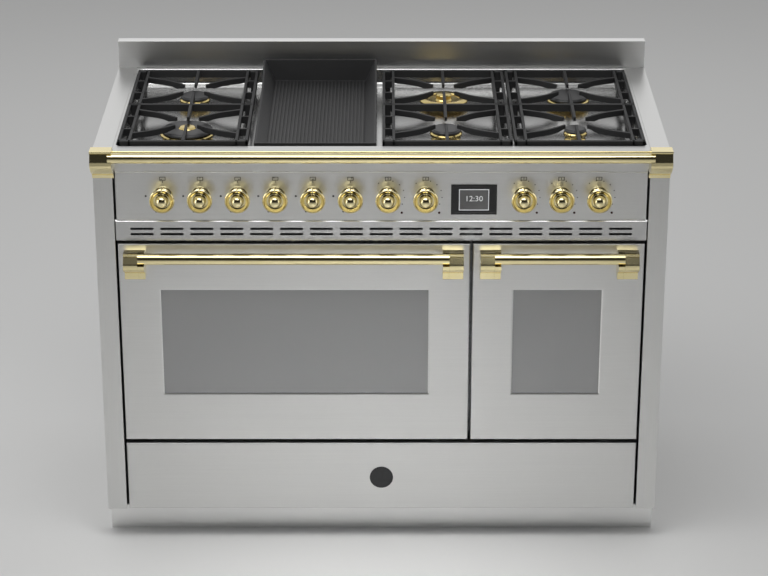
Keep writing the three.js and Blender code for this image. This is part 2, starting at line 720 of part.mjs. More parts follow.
// Burner cap: a shallow enamelled disc, or a ring round the raised centre of the wok burner.
function burnerCap(burner) {
  const r = burner.radius;
  const inner = burner.cap === 'ring' ? r * 0.34 : 0;
  const profile = [
    [inner, 0], [r, 0], [r, 2.5], [r - 2.5, CAP_HEIGHT - 1.5], [Math.max(r * 0.6, inner + 2), CAP_HEIGHT],
    [inner, CAP_HEIGHT],
  ];
  if (inner > 0) {
    profile.push([inner, 0]);
  }
  return turnedUpright(profile);
}

for (const burner of BURNERS) {
  const x = moduleX(burner.module);
  const y = behind(burner.depth);
  const seat = wellFloorTop + SEAT;
  place(`${burner.name}_crown`, burnerCrown(burner), 'burnerBrass', x, y, seat);
  if (burner.cap !== 'none') {
    place(`${burner.name}_cap`, burnerCap(burner), 'blackEnamel', x, y, seat + CROWN_HEIGHT + SEAT);
  }
}

// Pan support: a cast frame over two burners with ladder sides and curved fingers.
// Local X is across, local Y runs back from the middle bar and local Z is down from the top.
function fingerOutline(fromX, fromY, toX, toY) {
  const along = new THREE.Vector2(toX - fromX, 0);
  const path = new THREE.CubicBezierCurve(
    new THREE.Vector2(fromX, fromY),
    new THREE.Vector2(fromX + along.x * 0.5, fromY),
    new THREE.Vector2(fromX + along.x * 0.55, toY + (fromY - toY) * 0.35),
    new THREE.Vector2(toX, toY),
  );
  const steps = 3;
  const left = [];
  const right = [];
  for (let i = 0; i <= steps; i += 1) {
    const t = i / steps;
    const centre = path.getPoint(t);
    const tangent = path.getTangent(t);
    const half = (FINGER_WIDTH / 2) * (1 - 0.3 * t);
    left.push([centre.x - tangent.y * half, centre.y + tangent.x * half]);
    right.unshift([centre.x + tangent.y * half, centre.y - tangent.x * half]);
  }
  return outline([...left, ...right]);
}

function panSupport() {
  const halfX = SUPPORT_WIDTH / 2;
  const halfY = SUPPORT_LENGTH / 2;
  const low = -SUPPORT_BAR_HEIGHT;
  const pieces = [];
  const bar = (y) => block(-halfX, halfX, y - SUPPORT_BAR_WIDTH / 2, y + SUPPORT_BAR_WIDTH / 2, low, 0);
  pieces.push(bar(halfY - SUPPORT_BAR_WIDTH / 2), bar(0));
  const ladderInner = halfX - LADDER_WIDTH;
  for (const side of [-1, 1]) {
    const rails = [halfX - LADDER_RAIL, ladderInner];
    for (const start of rails) {
      const [x0, x1] = side < 0 ? [-start - LADDER_RAIL, -start] : [start, start + LADDER_RAIL];
      pieces.push(block(x0, x1, -halfY, halfY, low, 0));
    }
    for (let i = 1; i < LADDER_CELLS; i += 1) {
      const y = -halfY + (i / LADDER_CELLS) * SUPPORT_LENGTH;
      const [x0, x1] = side < 0 ? [-halfX + 1, -ladderInner - 1] : [ladderInner + 1, halfX - 1];
      pieces.push(block(x0, x1, y - LADDER_RAIL / 2, y + LADDER_RAIL / 2, low, 0));
    }
    const legs = [-halfY + SUPPORT_LEG, 0, halfY - SUPPORT_LEG];
    for (const y of legs) {
      const x = side * (halfX - SUPPORT_LEG);
      const half = SUPPORT_LEG / 2;
      const drop = -(supportTop - wellFloorTop - SEAT);
      pieces.push(block(x - half, x + half, y - half, y + half, drop, 0));
    }
  }
  const fingers = [];
  for (const burnerDepth of [FRONT_BURNER_DEPTH, REAR_BURNER_DEPTH]) {
    const y = burnerDepth - supportCentre;
    for (const side of [-1, 1]) {
      for (const end of [-1, 1]) {
        const shape = fingerOutline(
          side * (ladderInner + 2), y + end * FINGER_ROOT_FROM_BURNER, side * FINGER_TIP, y + end * FINGER_TIP,
        );
        fingers.push(drawnAlongZ(shape, -FINGER_HEIGHT, 0));
      }
    }
    const outer = y > 0 ? halfY - 1 : -halfY + 1;
    for (const root of [0, outer]) {
      const tip = y + Math.sign(root - y) * FINGER_TIP;
      const [y0, y1] = [Math.min(root, tip), Math.max(root, tip)];
      fingers.push(block(-FINGER_WIDTH / 2, FINGER_WIDTH / 2, y0, y1, -FINGER_HEIGHT, 0));
    }
  }
  return join(bar(-halfY + SUPPORT_BAR_WIDTH / 2), ...pieces, ...fingers);
}

for (const [name, index] of [['left', 0], ['middle', 2], ['right', 3]]) {
  place(`${name}_pan_support`, panSupport(), 'castIron', moduleX(index), behind(supportCentre), supportTop);
}

// Griddle: a cast tray with rims that rise to the back, sloped inner walls and ribs.
function griddle() {
  const half = GRIDDLE_WIDTH / 2;
  const front = SUPPORT_FRONT;
  const back = SUPPORT_FRONT + SUPPORT_LENGTH;
  const floorTop = DECK_HEIGHT - GRIDDLE_FLOOR_BELOW_DECK;
  const low = floorTop - GRIDDLE_FLOOR;
  const frontTop = DECK_HEIGHT + GRIDDLE_FRONT_RIM;
  const backTop = DECK_HEIGHT + GRIDDLE_BACK_RIM;
  const riseFrom = back - 120;
  const shell = drawnAlongX([
    [behind(front), low], [behind(back), low], [behind(back), backTop], [behind(back - 26), backTop],
    [behind(riseFrom), frontTop + 4], [behind(front), frontTop],
  ], -half, half);
  const wallHeight = backTop + 1 - floorTop;
  const floorX = half - GRIDDLE_WALL - GRIDDLE_WALL_SLOPE;
  const floorFront = front + GRIDDLE_WALL + GRIDDLE_WALL_SLOPE;
  const floorBack = back - GRIDDLE_WALL - GRIDDLE_WALL_SLOPE * 2;
  const hollow = taperedBlock(
    [-floorX, floorX, floorFront, floorBack],
    [-half + GRIDDLE_WALL, half - GRIDDLE_WALL, front + GRIDDLE_WALL, back - GRIDDLE_WALL],
    floorTop, wallHeight,
  );
  const ribs = [];
  const pitch = (2 * floorX) / GRIDDLE_RIBS;
  for (let i = 0; i < GRIDDLE_RIBS; i += 1) {
    const x = -floorX + (i + 0.5) * pitch;
    ribs.push(block(
      x - GRIDDLE_RIB_WIDTH / 2, x + GRIDDLE_RIB_WIDTH / 2, behind(floorFront + 6), behind(floorBack - 6),
      floorTop - 1, floorTop + GRIDDLE_RIB_HEIGHT,
    ));
  }
  const legs = [];
  for (const side of [-1, 1]) {
    for (const depth of [front + 2 * SUPPORT_LEG, back - 2 * SUPPORT_LEG]) {
      const x = side * (half - SUPPORT_LEG);
      const y = behind(depth);
      const r = SUPPORT_LEG / 2;
      legs.push(block(x - r, x + r, y - r, y + r, wellFloorTop + SEAT, low + 1));
    }
  }
  return join(cut(shell, hollow), ...ribs, ...legs);
}

// A block whose upper outline is wider than its lower one; outlines are [x0, x1, depth0, depth1].
function taperedBlock(lower, upper, z0, height) {
  const geometry = new THREE.BoxGeometry(1, 1, 1);
  const places = geometry.attributes.position;
  for (let i = 0; i < places.count; i += 1) {
    const edges = places.getZ(i) > 0 ? upper : lower;
    const x = places.getX(i) > 0 ? edges[1] : edges[0];
    const depth = places.getY(i) > 0 ? edges[3] : edges[2];
    places.setXYZ(i, x, behind(depth), z0 + (places.getZ(i) > 0 ? height : 0));
  }
  return toSolid(geometry);
}
place('griddle_plate', griddle(), 'castIron', moduleX(1));

// ---------------------------------------------------------------- brass rail and handles

// A corbel outline in [y, z]: base bead, swelling front, cove and top ledge.
function corbelOutline(height, reach, topReach, backReach, z0) {
  const swell = new THREE.SplineCurve([
    new THREE.Vector2(0.07, 0.16), new THREE.Vector2(0.1, 0.32), new THREE.Vector2(0.34, 0.46),
    new THREE.Vector2(0.78, 0.57), new THREE.Vector2(1, 0.69), new THREE.Vector2(0.93, 0.78),
  ]).getPoints(9);
  const bulge = Math.max(...swell.map((point) => point.x));
  const shares = [
    [0, 0], [0.13, 0], [0.15, 0.06], [0.09, 0.11],
    ...swell.map((point) => [point.x / bulge, point.y]),
    [0.7, 0.82], [0.66, 0.86], [topReach - 0.08, 0.91], [topReach, 0.93], [topReach, 1], [backReach, 1],
    [0, 0.86],
  ];
  return shares.map(([p, h]) => [behind(-SEAT - p * (reach - SEAT)), z0 + h * height]);
}

const railHeight = DECK_HEIGHT - RAIL_BELOW_DECK;
const railBracketInner = halfWidth - RAIL_BRACKET_WIDTH;

function railBracket(side) {
  const z0 = DECK_HEIGHT + RAIL_BRACKET_ABOVE_DECK - RAIL_BRACKET_HEIGHT;
  const [x0, x1] = side < 0 ? [-halfWidth, -railBracketInner] : [railBracketInner, halfWidth];
  const body = drawnAlongX(corbelOutline(RAIL_BRACKET_HEIGHT, RAIL_BRACKET_REACH, 0.97, 0.35, z0), x0, x1);
  const pocketEnd = side * (railBracketInner + RAIL_INTO_BRACKET + SEAT);
  const pocketStart = side * (railBracketInner - 5);
  const pocket = rod(
    'x', RAIL_RADIUS + SEAT, Math.min(pocketEnd, pocketStart), Math.max(pocketEnd, pocketStart),
    behind(-RAIL_REACH), railHeight, 16,
  );
  return cut(body, pocket);
}
place('rail_bracket_left', railBracket(-1), 'polishedBrass');
place('rail_bracket_right', railBracket(1), 'polishedBrass');

const railEnd = railBracketInner + RAIL_INTO_BRACKET;
place('front_rail', rod('x', RAIL_RADIUS, -railEnd, railEnd, behind(-RAIL_REACH), railHeight, 16), 'polishedBrass');

// Door handle: a round bar cradled by two corbels, cast and brazed together.
function doorHandle(door) {
  const z0 = doorTop - HANDLE_BELOW_DOOR_TOP - HANDLE_BRACKET_HEIGHT;
  const profile = corbelOutline(HANDLE_BRACKET_HEIGHT, HANDLE_REACH, 0.68, 0.34, z0);
  const low = door.low + HANDLE_BRACKET_FROM_EDGE;
  const high = door.high - HANDLE_BRACKET_FROM_EDGE;
  const barHeight = z0 + HANDLE_BRACKET_HEIGHT * HANDLE_BAR_HEIGHT_SHARE;
  const bar = rod(
    'x', HANDLE_BAR_RADIUS, low + HANDLE_BRACKET_WIDTH - BAR_INTO_BRACKET,
    high - HANDLE_BRACKET_WIDTH + BAR_INTO_BRACKET, behind(-HANDLE_BAR_REACH), barHeight, 16,
  );
  return join(
    drawnAlongX(profile, low, low + HANDLE_BRACKET_WIDTH),
    drawnAlongX(profile, high - HANDLE_BRACKET_WIDTH, high),
    bar,
  );
}

// ---------------------------------------------------------------- controls and vent

// Control panel: a folded tray with a hole for each spindle and a window for the display.
function controlPanel() {
  const z0 = controlBottom + SEAT;
  const z1 = apronBottom - SEAT;
  const tray = foldedTray(-panelHalfWidth, panelHalfWidth, z0, z1, RETURN_FLANGE);
  const holes = knobs.map((x) => rod(
    'y', SPINDLE_RADIUS + SPINDLE_PLAY, behind(-5), behind(5), x, knobHeight,
  ));
  const displayZ = controlBottom + DISPLAY_HEIGHT_IN_PANEL;
  const halfX = DISPLAY_WIDTH / 2 - DISPLAY_BEZEL;
  const halfZ = DISPLAY_HEIGHT / 2 - DISPLAY_BEZEL;
  const window = block(
    DISPLAY_X - halfX, DISPLAY_X + halfX, behind(-5), behind(5), displayZ - halfZ, displayZ + halfZ,
  );
  return cut(tray, window, ...holes);
}
place('control_panel', controlPanel(), 'brushedSteel');

// Display unit: a glass front that laps the window, on a housing behind it.
function displayUnit() {
  const z = controlBottom + DISPLAY_HEIGHT_IN_PANEL;
  const glass = block(
    DISPLAY_X - DISPLAY_WIDTH / 2, DISPLAY_X + DISPLAY_WIDTH / 2, behind(-SEAT - DISPLAY_GLASS), behind(-SEAT),
    z - DISPLAY_HEIGHT / 2, z + DISPLAY_HEIGHT / 2,
  );
  const halfX = DISPLAY_WIDTH / 2 - DISPLAY_BEZEL - SEAT;
  const halfZ = DISPLAY_HEIGHT / 2 - DISPLAY_BEZEL - SEAT;
  const housing = block(
    DISPLAY_X - halfX, DISPLAY_X + halfX, behind(-SEAT - 1), behind(DISPLAY_BODY_DEPTH - SEAT),
    z - halfZ, z + halfZ,
  );
  return join(glass, housing);
}
place('display_unit', displayUnit(), 'blackGlass');

// Vent strip: a folded strip between the columns with two rows of cooling slots.
function ventGrille() {
  const z0 = ventBottom;
  const z1 = controlBottom;
  const tray = foldedTray(-stripHalfWidth, stripHalfWidth, z0, z1, SHEET, RETURN_FLANGE, RETURN_FLANGE);
  const slots = [];
  for (const rowHeight of SLOT_ROW_HEIGHTS) {
    for (let i = 0; i < SLOT_COLUMNS; i += 1) {
      const x = (i - (SLOT_COLUMNS - 1) / 2) * SLOT_PITCH;
      const z = z0 + rowHeight;
      slots.push(block(
        x - SLOT_LENGTH / 2, x + SLOT_LENGTH / 2, behind(-5), behind(5), z - SLOT_HEIGHT / 2, z + SLOT_HEIGHT / 2,
      ));
    }
  }
  return cut(tray, ...slots);
}
place('vent_grille', ventGrille(), 'brushedSteel');

// Knob: a turned brass knob with a fluted rim, a dished face and a domed centre, on its spindle.
function knob() {
  const r = KNOB_RADIUS;
  const skirt = r * 0.83;
  const profile = [
    [0, -SPINDLE_LENGTH], [SPINDLE_RADIUS, -SPINDLE_LENGTH], [SPINDLE_RADIUS, 0.6], [skirt, 0.6],
    [r * 0.62, 9], [r, 27], [r, 31], [r * 0.84, 33.5], [r * 0.5, 28], [r * 0.4, 38], [0, KNOB_REACH],
  ];
  const geometry = latheOf(profile, KNOB_SEGMENTS);
  const places = geometry.attributes.position;
  const fluteFrom = 9;
  const fluteTo = 33;
  for (let i = 0; i < places.count; i += 1) {
    const height = places.getY(i);
    const isHollow = Math.floor(i / profile.length) % 2 === 1;
    if (isHollow && height > fluteFrom && height < fluteTo && Math.hypot(places.getX(i), places.getZ(i)) > skirt * 0.8) {
      places.setX(i, places.getX(i) * 0.95);
      places.setZ(i, places.getZ(i) * 0.95);
    }
  }
  geometry.rotateZ(Math.PI);
  return toSolid(geometry);
}

knobs.forEach((x, i) => {
  place(`knob_${String(i + 1).padStart(2, '0')}`, knob(), 'polishedBrass', x, behind(0), knobHeight);
});

// ---------------------------------------------------------------- ovens

// Oven cavity: a pressed box with a front flange, rack ledges and, in the big oven, a shaft hole.
function ovenCavity(oven) {
  const x0 = oven.centre - oven.width / 2;
  const x1 = oven.centre + oven.width / 2;
  const z0 = cavityBottom;
  const z1 = cavityBottom + CAVITY_HEIGHT;
  const t = CAVITY_SHEET;
  const f = CAVITY_FLANGE;
  const shell = block(x0 - t, x1 + t, behind(CAVITY_FLANGE_DEPTH), behind(cavityBack + t), z0 - t, z1 + t);
  const flange = block(
    x0 - f, x1 + f, behind(CAVITY_FLANGE_DEPTH), behind(CAVITY_FLANGE_DEPTH + t), z0 - f, z1 + f,
  );
  const space = block(x0, x1, behind(CAVITY_FLANGE_DEPTH - 1), behind(cavityBack), z0, z1);
  const ledges = [];
  for (const height of LEDGE_HEIGHTS) {
    const ledgeFront = behind(CAVITY_FLANGE_DEPTH + 10);
    const ledgeBack = behind(cavityBack + t / 2);
    const z = z0 + height;
    ledges.push(block(x0 - t / 2, x0 + LEDGE_REACH, ledgeFront, ledgeBack, z - LEDGE_THICKNESS, z));
    ledges.push(block(x1 - LEDGE_REACH, x1 + t / 2, ledgeFront, ledgeBack, z - LEDGE_THICKNESS, z));
  }
  const body = join(cut(join(shell, flange), space), ...ledges);
  if (oven.name === 'right') {
    return body;
  }
  const shaftHole = rod(
    'y', FAN_SHAFT_RADIUS + FAN_SHAFT_PLAY, behind(cavityBack - 5), behind(cavityBack + 5),
    oven.centre, fanHeight,
  );
  return cut(body, shaftHole);
}
const fanHeight = cavityBottom + CAVITY_HEIGHT / 2;
place('left_oven_cavity', ovenCavity(leftOven), 'ovenEnamel');
place('right_oven_cavity', ovenCavity(rightOven), 'ovenEnamel');

// Door seal: a soft ring on the cavity flange that the closed door meets.
function ovenSeal(oven) {
  const inner = SEAL_FROM_OPENING;
  const outer = inner + SEAL_WIDTH;
  const x0 = oven.centre - oven.width / 2;
  const x1 = oven.centre + oven.width / 2;
  const z0 = cavityBottom;
  const z1 = cavityBottom + CAVITY_HEIGHT;
  const ring = roundedRectangle(x0 - outer, x1 + outer, z0 - outer, z1 + outer, outer);
  const hole = roundedRectangle(x0 - inner, x1 + inner, z0 - inner, z1 + inner, inner);
  ring.holes.push(hole);
  return drawnAlongY(ring, behind(DOOR_THICKNESS + SEAT), behind(CAVITY_FLANGE_DEPTH - SEAT));
}
place('left_oven_seal', ovenSeal(leftOven), 'sealRubber');
place('right_oven_seal', ovenSeal(rightOven), 'sealRubber');

// Oven rack: a wire grid that slides on a pair of ledges.
function ovenRack(oven, ledge) {
  const z0 = cavityBottom + LEDGE_HEIGHTS[ledge] + SEAT;
  const z1 = z0 + RACK_ROD;
  const half = oven.width / 2 - RACK_SIDE_PLAY;
  const front = CAVITY_FLANGE_DEPTH + 12;
  const back = Math.min(front + RACK_DEPTH, cavityBack - FAN_COVER_DEPTH - 4);
  const x = oven.centre;
  const side = (edge) => block(
    Math.min(edge, edge - Math.sign(edge) * RACK_ROD) + x, Math.max(edge, edge - Math.sign(edge) * RACK_ROD) + x,
    behind(front), behind(back), z0, z1,
  );
  const cross = (depth) => block(x - half, x + half, behind(depth), behind(depth + RACK_ROD), z0, z1);
  const pieces = [side(half), cross(front), cross(back - RACK_ROD)];
  const wires = Math.floor((2 * half) / RACK_WIRE_PITCH) - 1;
  for (let i = 0; i < wires; i += 1) {
    const wireX = x + (i - (wires - 1) / 2) * RACK_WIRE_PITCH;
    pieces.push(block(
      wireX - RACK_WIRE / 2, wireX + RACK_WIRE / 2, behind(front + 1), behind(back - 1),
      z1 - RACK_WIRE, z1,
    ));
  }
  return join(side(-half), ...pieces);
}
place('left_oven_rack_lower', ovenRack(leftOven, 0), 'chromedWire');
place('left_oven_rack_upper', ovenRack(leftOven, 2), 'chromedWire');
place('right_oven_rack', ovenRack(rightOven, 1), 'chromedWire');

// Fan cover: a pressed dish on the back wall with a ring of air slots.
function fanCover() {
  const half = FAN_COVER_SIZE / 2;
  const front = cavityBack - FAN_COVER_DEPTH;
  const x = leftOven.centre;
  const shape = roundedRectangle(x - half, x + half, fanHeight - half, fanHeight + half, 30);
  const hollow = roundedRectangle(
    x - half + SHEET, x + half - SHEET, fanHeight - half + SHEET, fanHeight + half - SHEET, 30 - SHEET,
  );
  const slots = [];
  for (let i = 0; i < FAN_COVER_SLOTS; i += 1) {
    const slot = new THREE.BoxGeometry(38, 20, 9);
    slot.translate(68, 0, 0);
    slot.rotateY((i / FAN_COVER_SLOTS) * Math.PI * 2);
    slot.translate(x, behind(front), fanHeight);
    slots.push(toSolid(slot));
  }
  const dish = cut(
    drawnAlongY(shape, behind(front), behind(cavityBack - SEAT)),
    drawnAlongY(hollow, behind(front + SHEET), behind(cavityBack)),
  );
  return cut(dish, ...slots, rod('y', 22, behind(front - 5), behind(front + 5), x, fanHeight));
}
place('left_oven_fan_cover', fanCover(), 'ovenEnamel');

// Oven fan: a back disc with radial blades on a shaft that runs through the cavity wall.
function ovenFan() {
  const x = leftOven.centre;
  const bladeFront = cavityBack - FAN_COVER_DEPTH + 8;
  const disc = rod('y', FAN_RADIUS, behind(bladeFront + FAN_BLADE_WIDTH), behind(bladeFront + FAN_BLADE_WIDTH + 1.5), x, fanHeight, 24);
  const hub = rod('y', FAN_HUB_RADIUS, behind(bladeFront - 2), behind(bladeFront + FAN_BLADE_WIDTH + 1), x, fanHeight);
  const shaft = rod('y', FAN_SHAFT_RADIUS, behind(bladeFront), behind(cavityBack + FAN_SHAFT_BEHIND_WALL), x, fanHeight);
  const blades = [];
  for (let i = 0; i < FAN_BLADES; i += 1) {
    const blade = new THREE.BoxGeometry(FAN_RADIUS - FAN_HUB_RADIUS + 3, FAN_BLADE_WIDTH + 1, 2);
    blade.translate((FAN_RADIUS + FAN_HUB_RADIUS - 4) / 2, 0, 0);
    blade.rotateY((i / FAN_BLADES) * Math.PI * 2);
    blade.translate(x, behind(bladeFront + (FAN_BLADE_WIDTH + 1) / 2), fanHeight);
    blades.push(toSolid(blade));
  }
  return join(disc, hub, shaft, ...blades);
}
place('left_oven_fan', ovenFan(), 'darkSteel');

// ---------------------------------------------------------------- doors

function windowOf(door, inset) {
  const z0 = doorBottom + WINDOW_BOTTOM_MARGIN;
  return [
    door.low + WINDOW_SIDE_MARGIN + inset, door.high - WINDOW_SIDE_MARGIN - inset,
    z0 + inset, z0 + WINDOW_HEIGHT - inset,
  ];
}

// Door panel: a folded steel tray with a window whose edge slopes in to the glass.
function doorPanel(door) {
  const tray = foldedTray(door.low, door.high, doorBottom, doorTop, DOOR_SIDE_RETURN, DOOR_BOTTOM_RETURN);
  const [x0, x1, z0, z1] = windowOf(door, 0);
  const slope = SHEET * 1.6;
  const near = drawnAlongY(roundedRectangle(x0, x1, z0, z1, 3), behind(-1), behind(SHEET + 1));
  const flare = taperedBlock([x0 - slope, x1 + slope, -0.2, 0.9], [x0 - slope, x1 + slope, -0.2, 0.9], z0 - slope, z1 - z0 + 2 * slope);
  return cut(tray, near, flare);
}

// Inner door frame: a deep ring behind the panel with hinge slots and a rebate for the inner pane.
const frameInset = SHEET + SEAT;
const innerGlassDepth = DOOR_THICKNESS - GLASS_THICKNESS - 1;

function doorFrame(door, hinges) {
  const front = DOOR_BOTTOM_RETURN + SEAT;
  const [x0, x1, z0, z1] = windowOf(door, -INNER_WINDOW_INSET / 2);
  const ring = block(
    door.low + frameInset, door.high - frameInset, behind(front), behind(DOOR_THICKNESS),
    doorBottom + frameInset, doorTop - frameInset,
  );
  const opening = block(x0, x1, behind(front - 1), behind(DOOR_THICKNESS + 1), z0, z1);
  const [rx0, rx1, rz0, rz1] = windowOf(door, -INNER_WINDOW_INSET / 2 - GLASS_OVERLAP);
  const rebate = block(rx0, rx1, behind(innerGlassDepth), behind(DOOR_THICKNESS + 1), rz0, rz1);
  const wall = FRAME_WALL;
  const [cx0, cx1, cz0, cz1] = windowOf(door, -INNER_WINDOW_INSET / 2 - GLASS_OVERLAP - wall);
  const inside = block(
    door.low + frameInset + wall, door.high - frameInset - wall, behind(front - 1),
    behind(DOOR_THICKNESS - wall), doorBottom + frameInset + wall, doorTop - frameInset - wall,
  );
  const aroundWindow = block(cx0, cx1, behind(front - 2), behind(DOOR_THICKNESS), cz0, cz1);
  const slots = [];
  const slotHalf = HINGE_ARM_WIDTH / 2 + HINGE_SIDE_PLAY;
  const boreReach = slotHalf + HINGE_PIN_LENGTH + SEAT;
  const hingeBlocks = hinges.map((x) => block(
    x - boreReach - wall, x + boreReach + wall, behind(front - 2), behind(DOOR_THICKNESS), doorBottom,
    hingeHeight + HINGE_ARM_RADIUS + 2 + wall,
  ));
  for (const x of hinges) {
    slots.push(block(
      x - slotHalf, x + slotHalf, behind(front - 1), behind(DOOR_THICKNESS + 1), doorBottom - 1,
      hingeHeight + HINGE_ARM_RADIUS + 2,
    ));
    slots.push(rod(
      'x', HINGE_PIN_RADIUS + HINGE_RADIAL_PLAY, x - boreReach, x + boreReach, behind(HINGE_DEPTH), hingeHeight,
    ));
  }
  const hollow = cut(inside, aroundWindow, ...hingeBlocks);
  return cut(ring, hollow, opening, rebate, ...slots);
}

function pane(edges, play, front) {
  const [x0, x1, z0, z1] = edges;
  return block(x0 + play, x1 - play, behind(front), behind(front + GLASS_THICKNESS), z0 + play, z1 - play);
}

[leftDoor, rightDoor].forEach((door, i) => {
  const hinges = doorHinges.slice(2 * i, 2 * i + 2);
  const outerPaneFront = SHEET + SEAT;
  place(`${door.name}_door_panel`, doorPanel(door), 'brushedSteel');
  place(`${door.name}_door_outer_glass`, pane(windowOf(door, -GLASS_OVERLAP), 0, outerPaneFront), 'clearGlass');
  place(`${door.name}_door_frame`, doorFrame(door, hinges), 'blackEnamel');
  const innerEdges = windowOf(door, -INNER_WINDOW_INSET / 2 - GLASS_OVERLAP);
  place(`${door.name}_door_inner_glass`, pane(innerEdges, SEAT, innerGlassDepth + SEAT), 'clearGlass');
  place(`${door.name}_door_handle`, doorHandle(door), 'polishedBrass');
});

// ---------------------------------------------------------------- drawer

// Drawer front: a plain folded tray over the whole width between the columns.
place(
  'drawer_front',
  foldedTray(-panelHalfWidth, panelHalfWidth, drawerBottom, drawerTop, DRAWER_FRONT_THICKNESS),
  'brushedSteel',
);

// Drawer box: an open sheet box that slides on the chassis runners.
function drawerBox() {
  const half = DRAWER_BOX_WIDTH / 2;
  const front = SHEET + SEAT;
  const back = front + DRAWER_BOX_DEPTH;
  const z0 = panTop + RUNNER_HEIGHT + SEAT;
  const z1 = z0 + DRAWER_BOX_HEIGHT;
  const outer = block(-half, half, behind(front), behind(back), z0, z1);
  const inner = block(-half + SHEET, half - SHEET, behind(front + SHEET), behind(back - SHEET), z0 + SHEET, z1 + 1);
  return cut(outer, inner);
}
place('drawer_box', drawerBox(), 'galvanised');

export default cooker;
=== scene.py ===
"""The looks of a 120 cm range cooker: brushed steel, polished brass, cast iron and black enamel."""

import math
from contextlib import contextmanager

import bpy
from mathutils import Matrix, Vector


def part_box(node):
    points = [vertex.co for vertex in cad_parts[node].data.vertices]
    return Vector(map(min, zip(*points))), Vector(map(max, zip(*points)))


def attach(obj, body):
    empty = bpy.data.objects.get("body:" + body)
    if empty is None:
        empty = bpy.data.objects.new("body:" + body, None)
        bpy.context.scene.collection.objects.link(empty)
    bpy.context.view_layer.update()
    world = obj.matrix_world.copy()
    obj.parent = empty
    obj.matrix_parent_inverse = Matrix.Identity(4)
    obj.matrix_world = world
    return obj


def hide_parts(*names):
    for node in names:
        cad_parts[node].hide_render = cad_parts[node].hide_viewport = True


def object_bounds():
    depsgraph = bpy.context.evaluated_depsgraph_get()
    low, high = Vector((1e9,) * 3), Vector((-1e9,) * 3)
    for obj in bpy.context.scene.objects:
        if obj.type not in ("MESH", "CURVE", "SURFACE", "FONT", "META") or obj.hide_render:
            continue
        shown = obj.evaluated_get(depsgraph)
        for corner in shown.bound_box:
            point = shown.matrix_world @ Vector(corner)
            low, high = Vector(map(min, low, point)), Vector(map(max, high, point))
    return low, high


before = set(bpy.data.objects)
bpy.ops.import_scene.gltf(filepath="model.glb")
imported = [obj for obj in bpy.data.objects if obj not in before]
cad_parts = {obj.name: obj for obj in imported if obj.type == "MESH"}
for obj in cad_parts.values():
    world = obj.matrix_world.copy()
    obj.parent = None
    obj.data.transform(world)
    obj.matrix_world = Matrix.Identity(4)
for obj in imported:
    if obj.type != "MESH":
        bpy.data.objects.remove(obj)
cad_low, cad_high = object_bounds()


# ---------------------------------------------------------------- the camera
# The camera stands before the middle of the cooker and looks down on the hob at a low angle,
# through a long lens that keeps the upright edges nearly parallel.
CAMERA_DISTANCE = 5.5
CAMERA_ELEVATION = math.radians(22.6)
CAMERA_LENS = 115.2
SENSOR_WIDTH = 36
CAMERA_AIM = Vector((0.0057, 0, 0.483))

towards_camera = Vector((0, -math.cos(CAMERA_ELEVATION), math.sin(CAMERA_ELEVATION)))
camera = bpy.data.objects.new("camera", bpy.data.cameras.new("camera"))
camera.data.lens = CAMERA_LENS
camera.data.sensor_width = SENSOR_WIDTH
camera.location = CAMERA_AIM + towards_camera * CAMERA_DISTANCE
camera.rotation_euler = (-towards_camera).to_track_quat("-Z", "Y").to_euler()
bpy.context.scene.collection.objects.link(camera)
bpy.context.scene.camera = camera
bpy.context.scene.view_settings.view_transform = "Standard"


# ---------------------------------------------------------------- the studio
# A plain pale floor under a pale sky that is dark before the cooker, so that polished metal shows
# a dark line between the floor and the softbox, as it does in a photographer's tent.
FLOOR_SIZE = 60
FLOOR_COLOUR = (0.62, 0.62, 0.615)
SKY_STOPS = [(0, 0.85), (0.3, 0.9), (0.6, 0.72), (1, 0.5)]
CURTAIN_STOPS = [(0, 0.02), (0.6, 0.035), (0.85, 0.2), (0.94, 0.62)]
CURTAIN_FROM, CURTAIN_TO = -0.02, -0.3
# Softboxes: name, place, aim, width, height, power in watts, spread and whether metal mirrors it.
SOFTBOXES = [
    ("overhead", (-0.4, -0.9, 2.9), (0, -0.1, 0.8), 2.6, 1.2, 30, 180, True),
    ("pool", (0.0, -1.4, 2.2), (0.0, -1.2, 0), 0.5, 1.9, 4.0, 42, False),
    ("left", (-3.0, -1.3, 1.2), (0, 0, 0.5), 1.6, 2.2, 20, 180, True),
    ("right", (3.0, -1.3, 1.2), (0, 0, 0.5), 1.6, 2.2, 10, 180, True),
    ("rear", (0, 3.2, 2.2), (0, 0.1, 0.9), 3.4, 1.3, 14, 180, False),
]


class Wire:
    """A socket in a node tree. Sums and products add Math nodes; node() adds any other node."""

    def __init__(self, tree, socket=None):
        self.tree = tree
        self.socket = socket

    def node(self, kind, settings=None, inputs=None, output=0):
        made = self.tree.nodes.new(kind)
        for key, value in (settings or {}).items():
            if key == "stops":
                elements = made.color_ramp.elements
                while len(elements) < len(value):
                    elements.new(1)
                for element, (position, shade) in zip(elements, value):
                    element.position = position
                    element.color = (shade, shade, shade, 1)
            else:
                setattr(made, key, value)
        for key, value in (inputs or {}).items():
            if isinstance(value, Wire):
                self.tree.links.new(value.socket, made.inputs[key])
            else:
                made.inputs[key].default_value = value
        return Wire(self.tree, made.outputs[output])

    def __add__(self, other):
        return self.node("ShaderNodeMath", {"operation": "ADD"}, {0: self, 1: other})

    def __rmul__(self, other):
        return self.node("ShaderNodeMath", {"operation": "MULTIPLY"}, {0: self, 1: other})

    __radd__ = __add__

    def into(self, socket):
        self.tree.links.new(self.socket, socket)


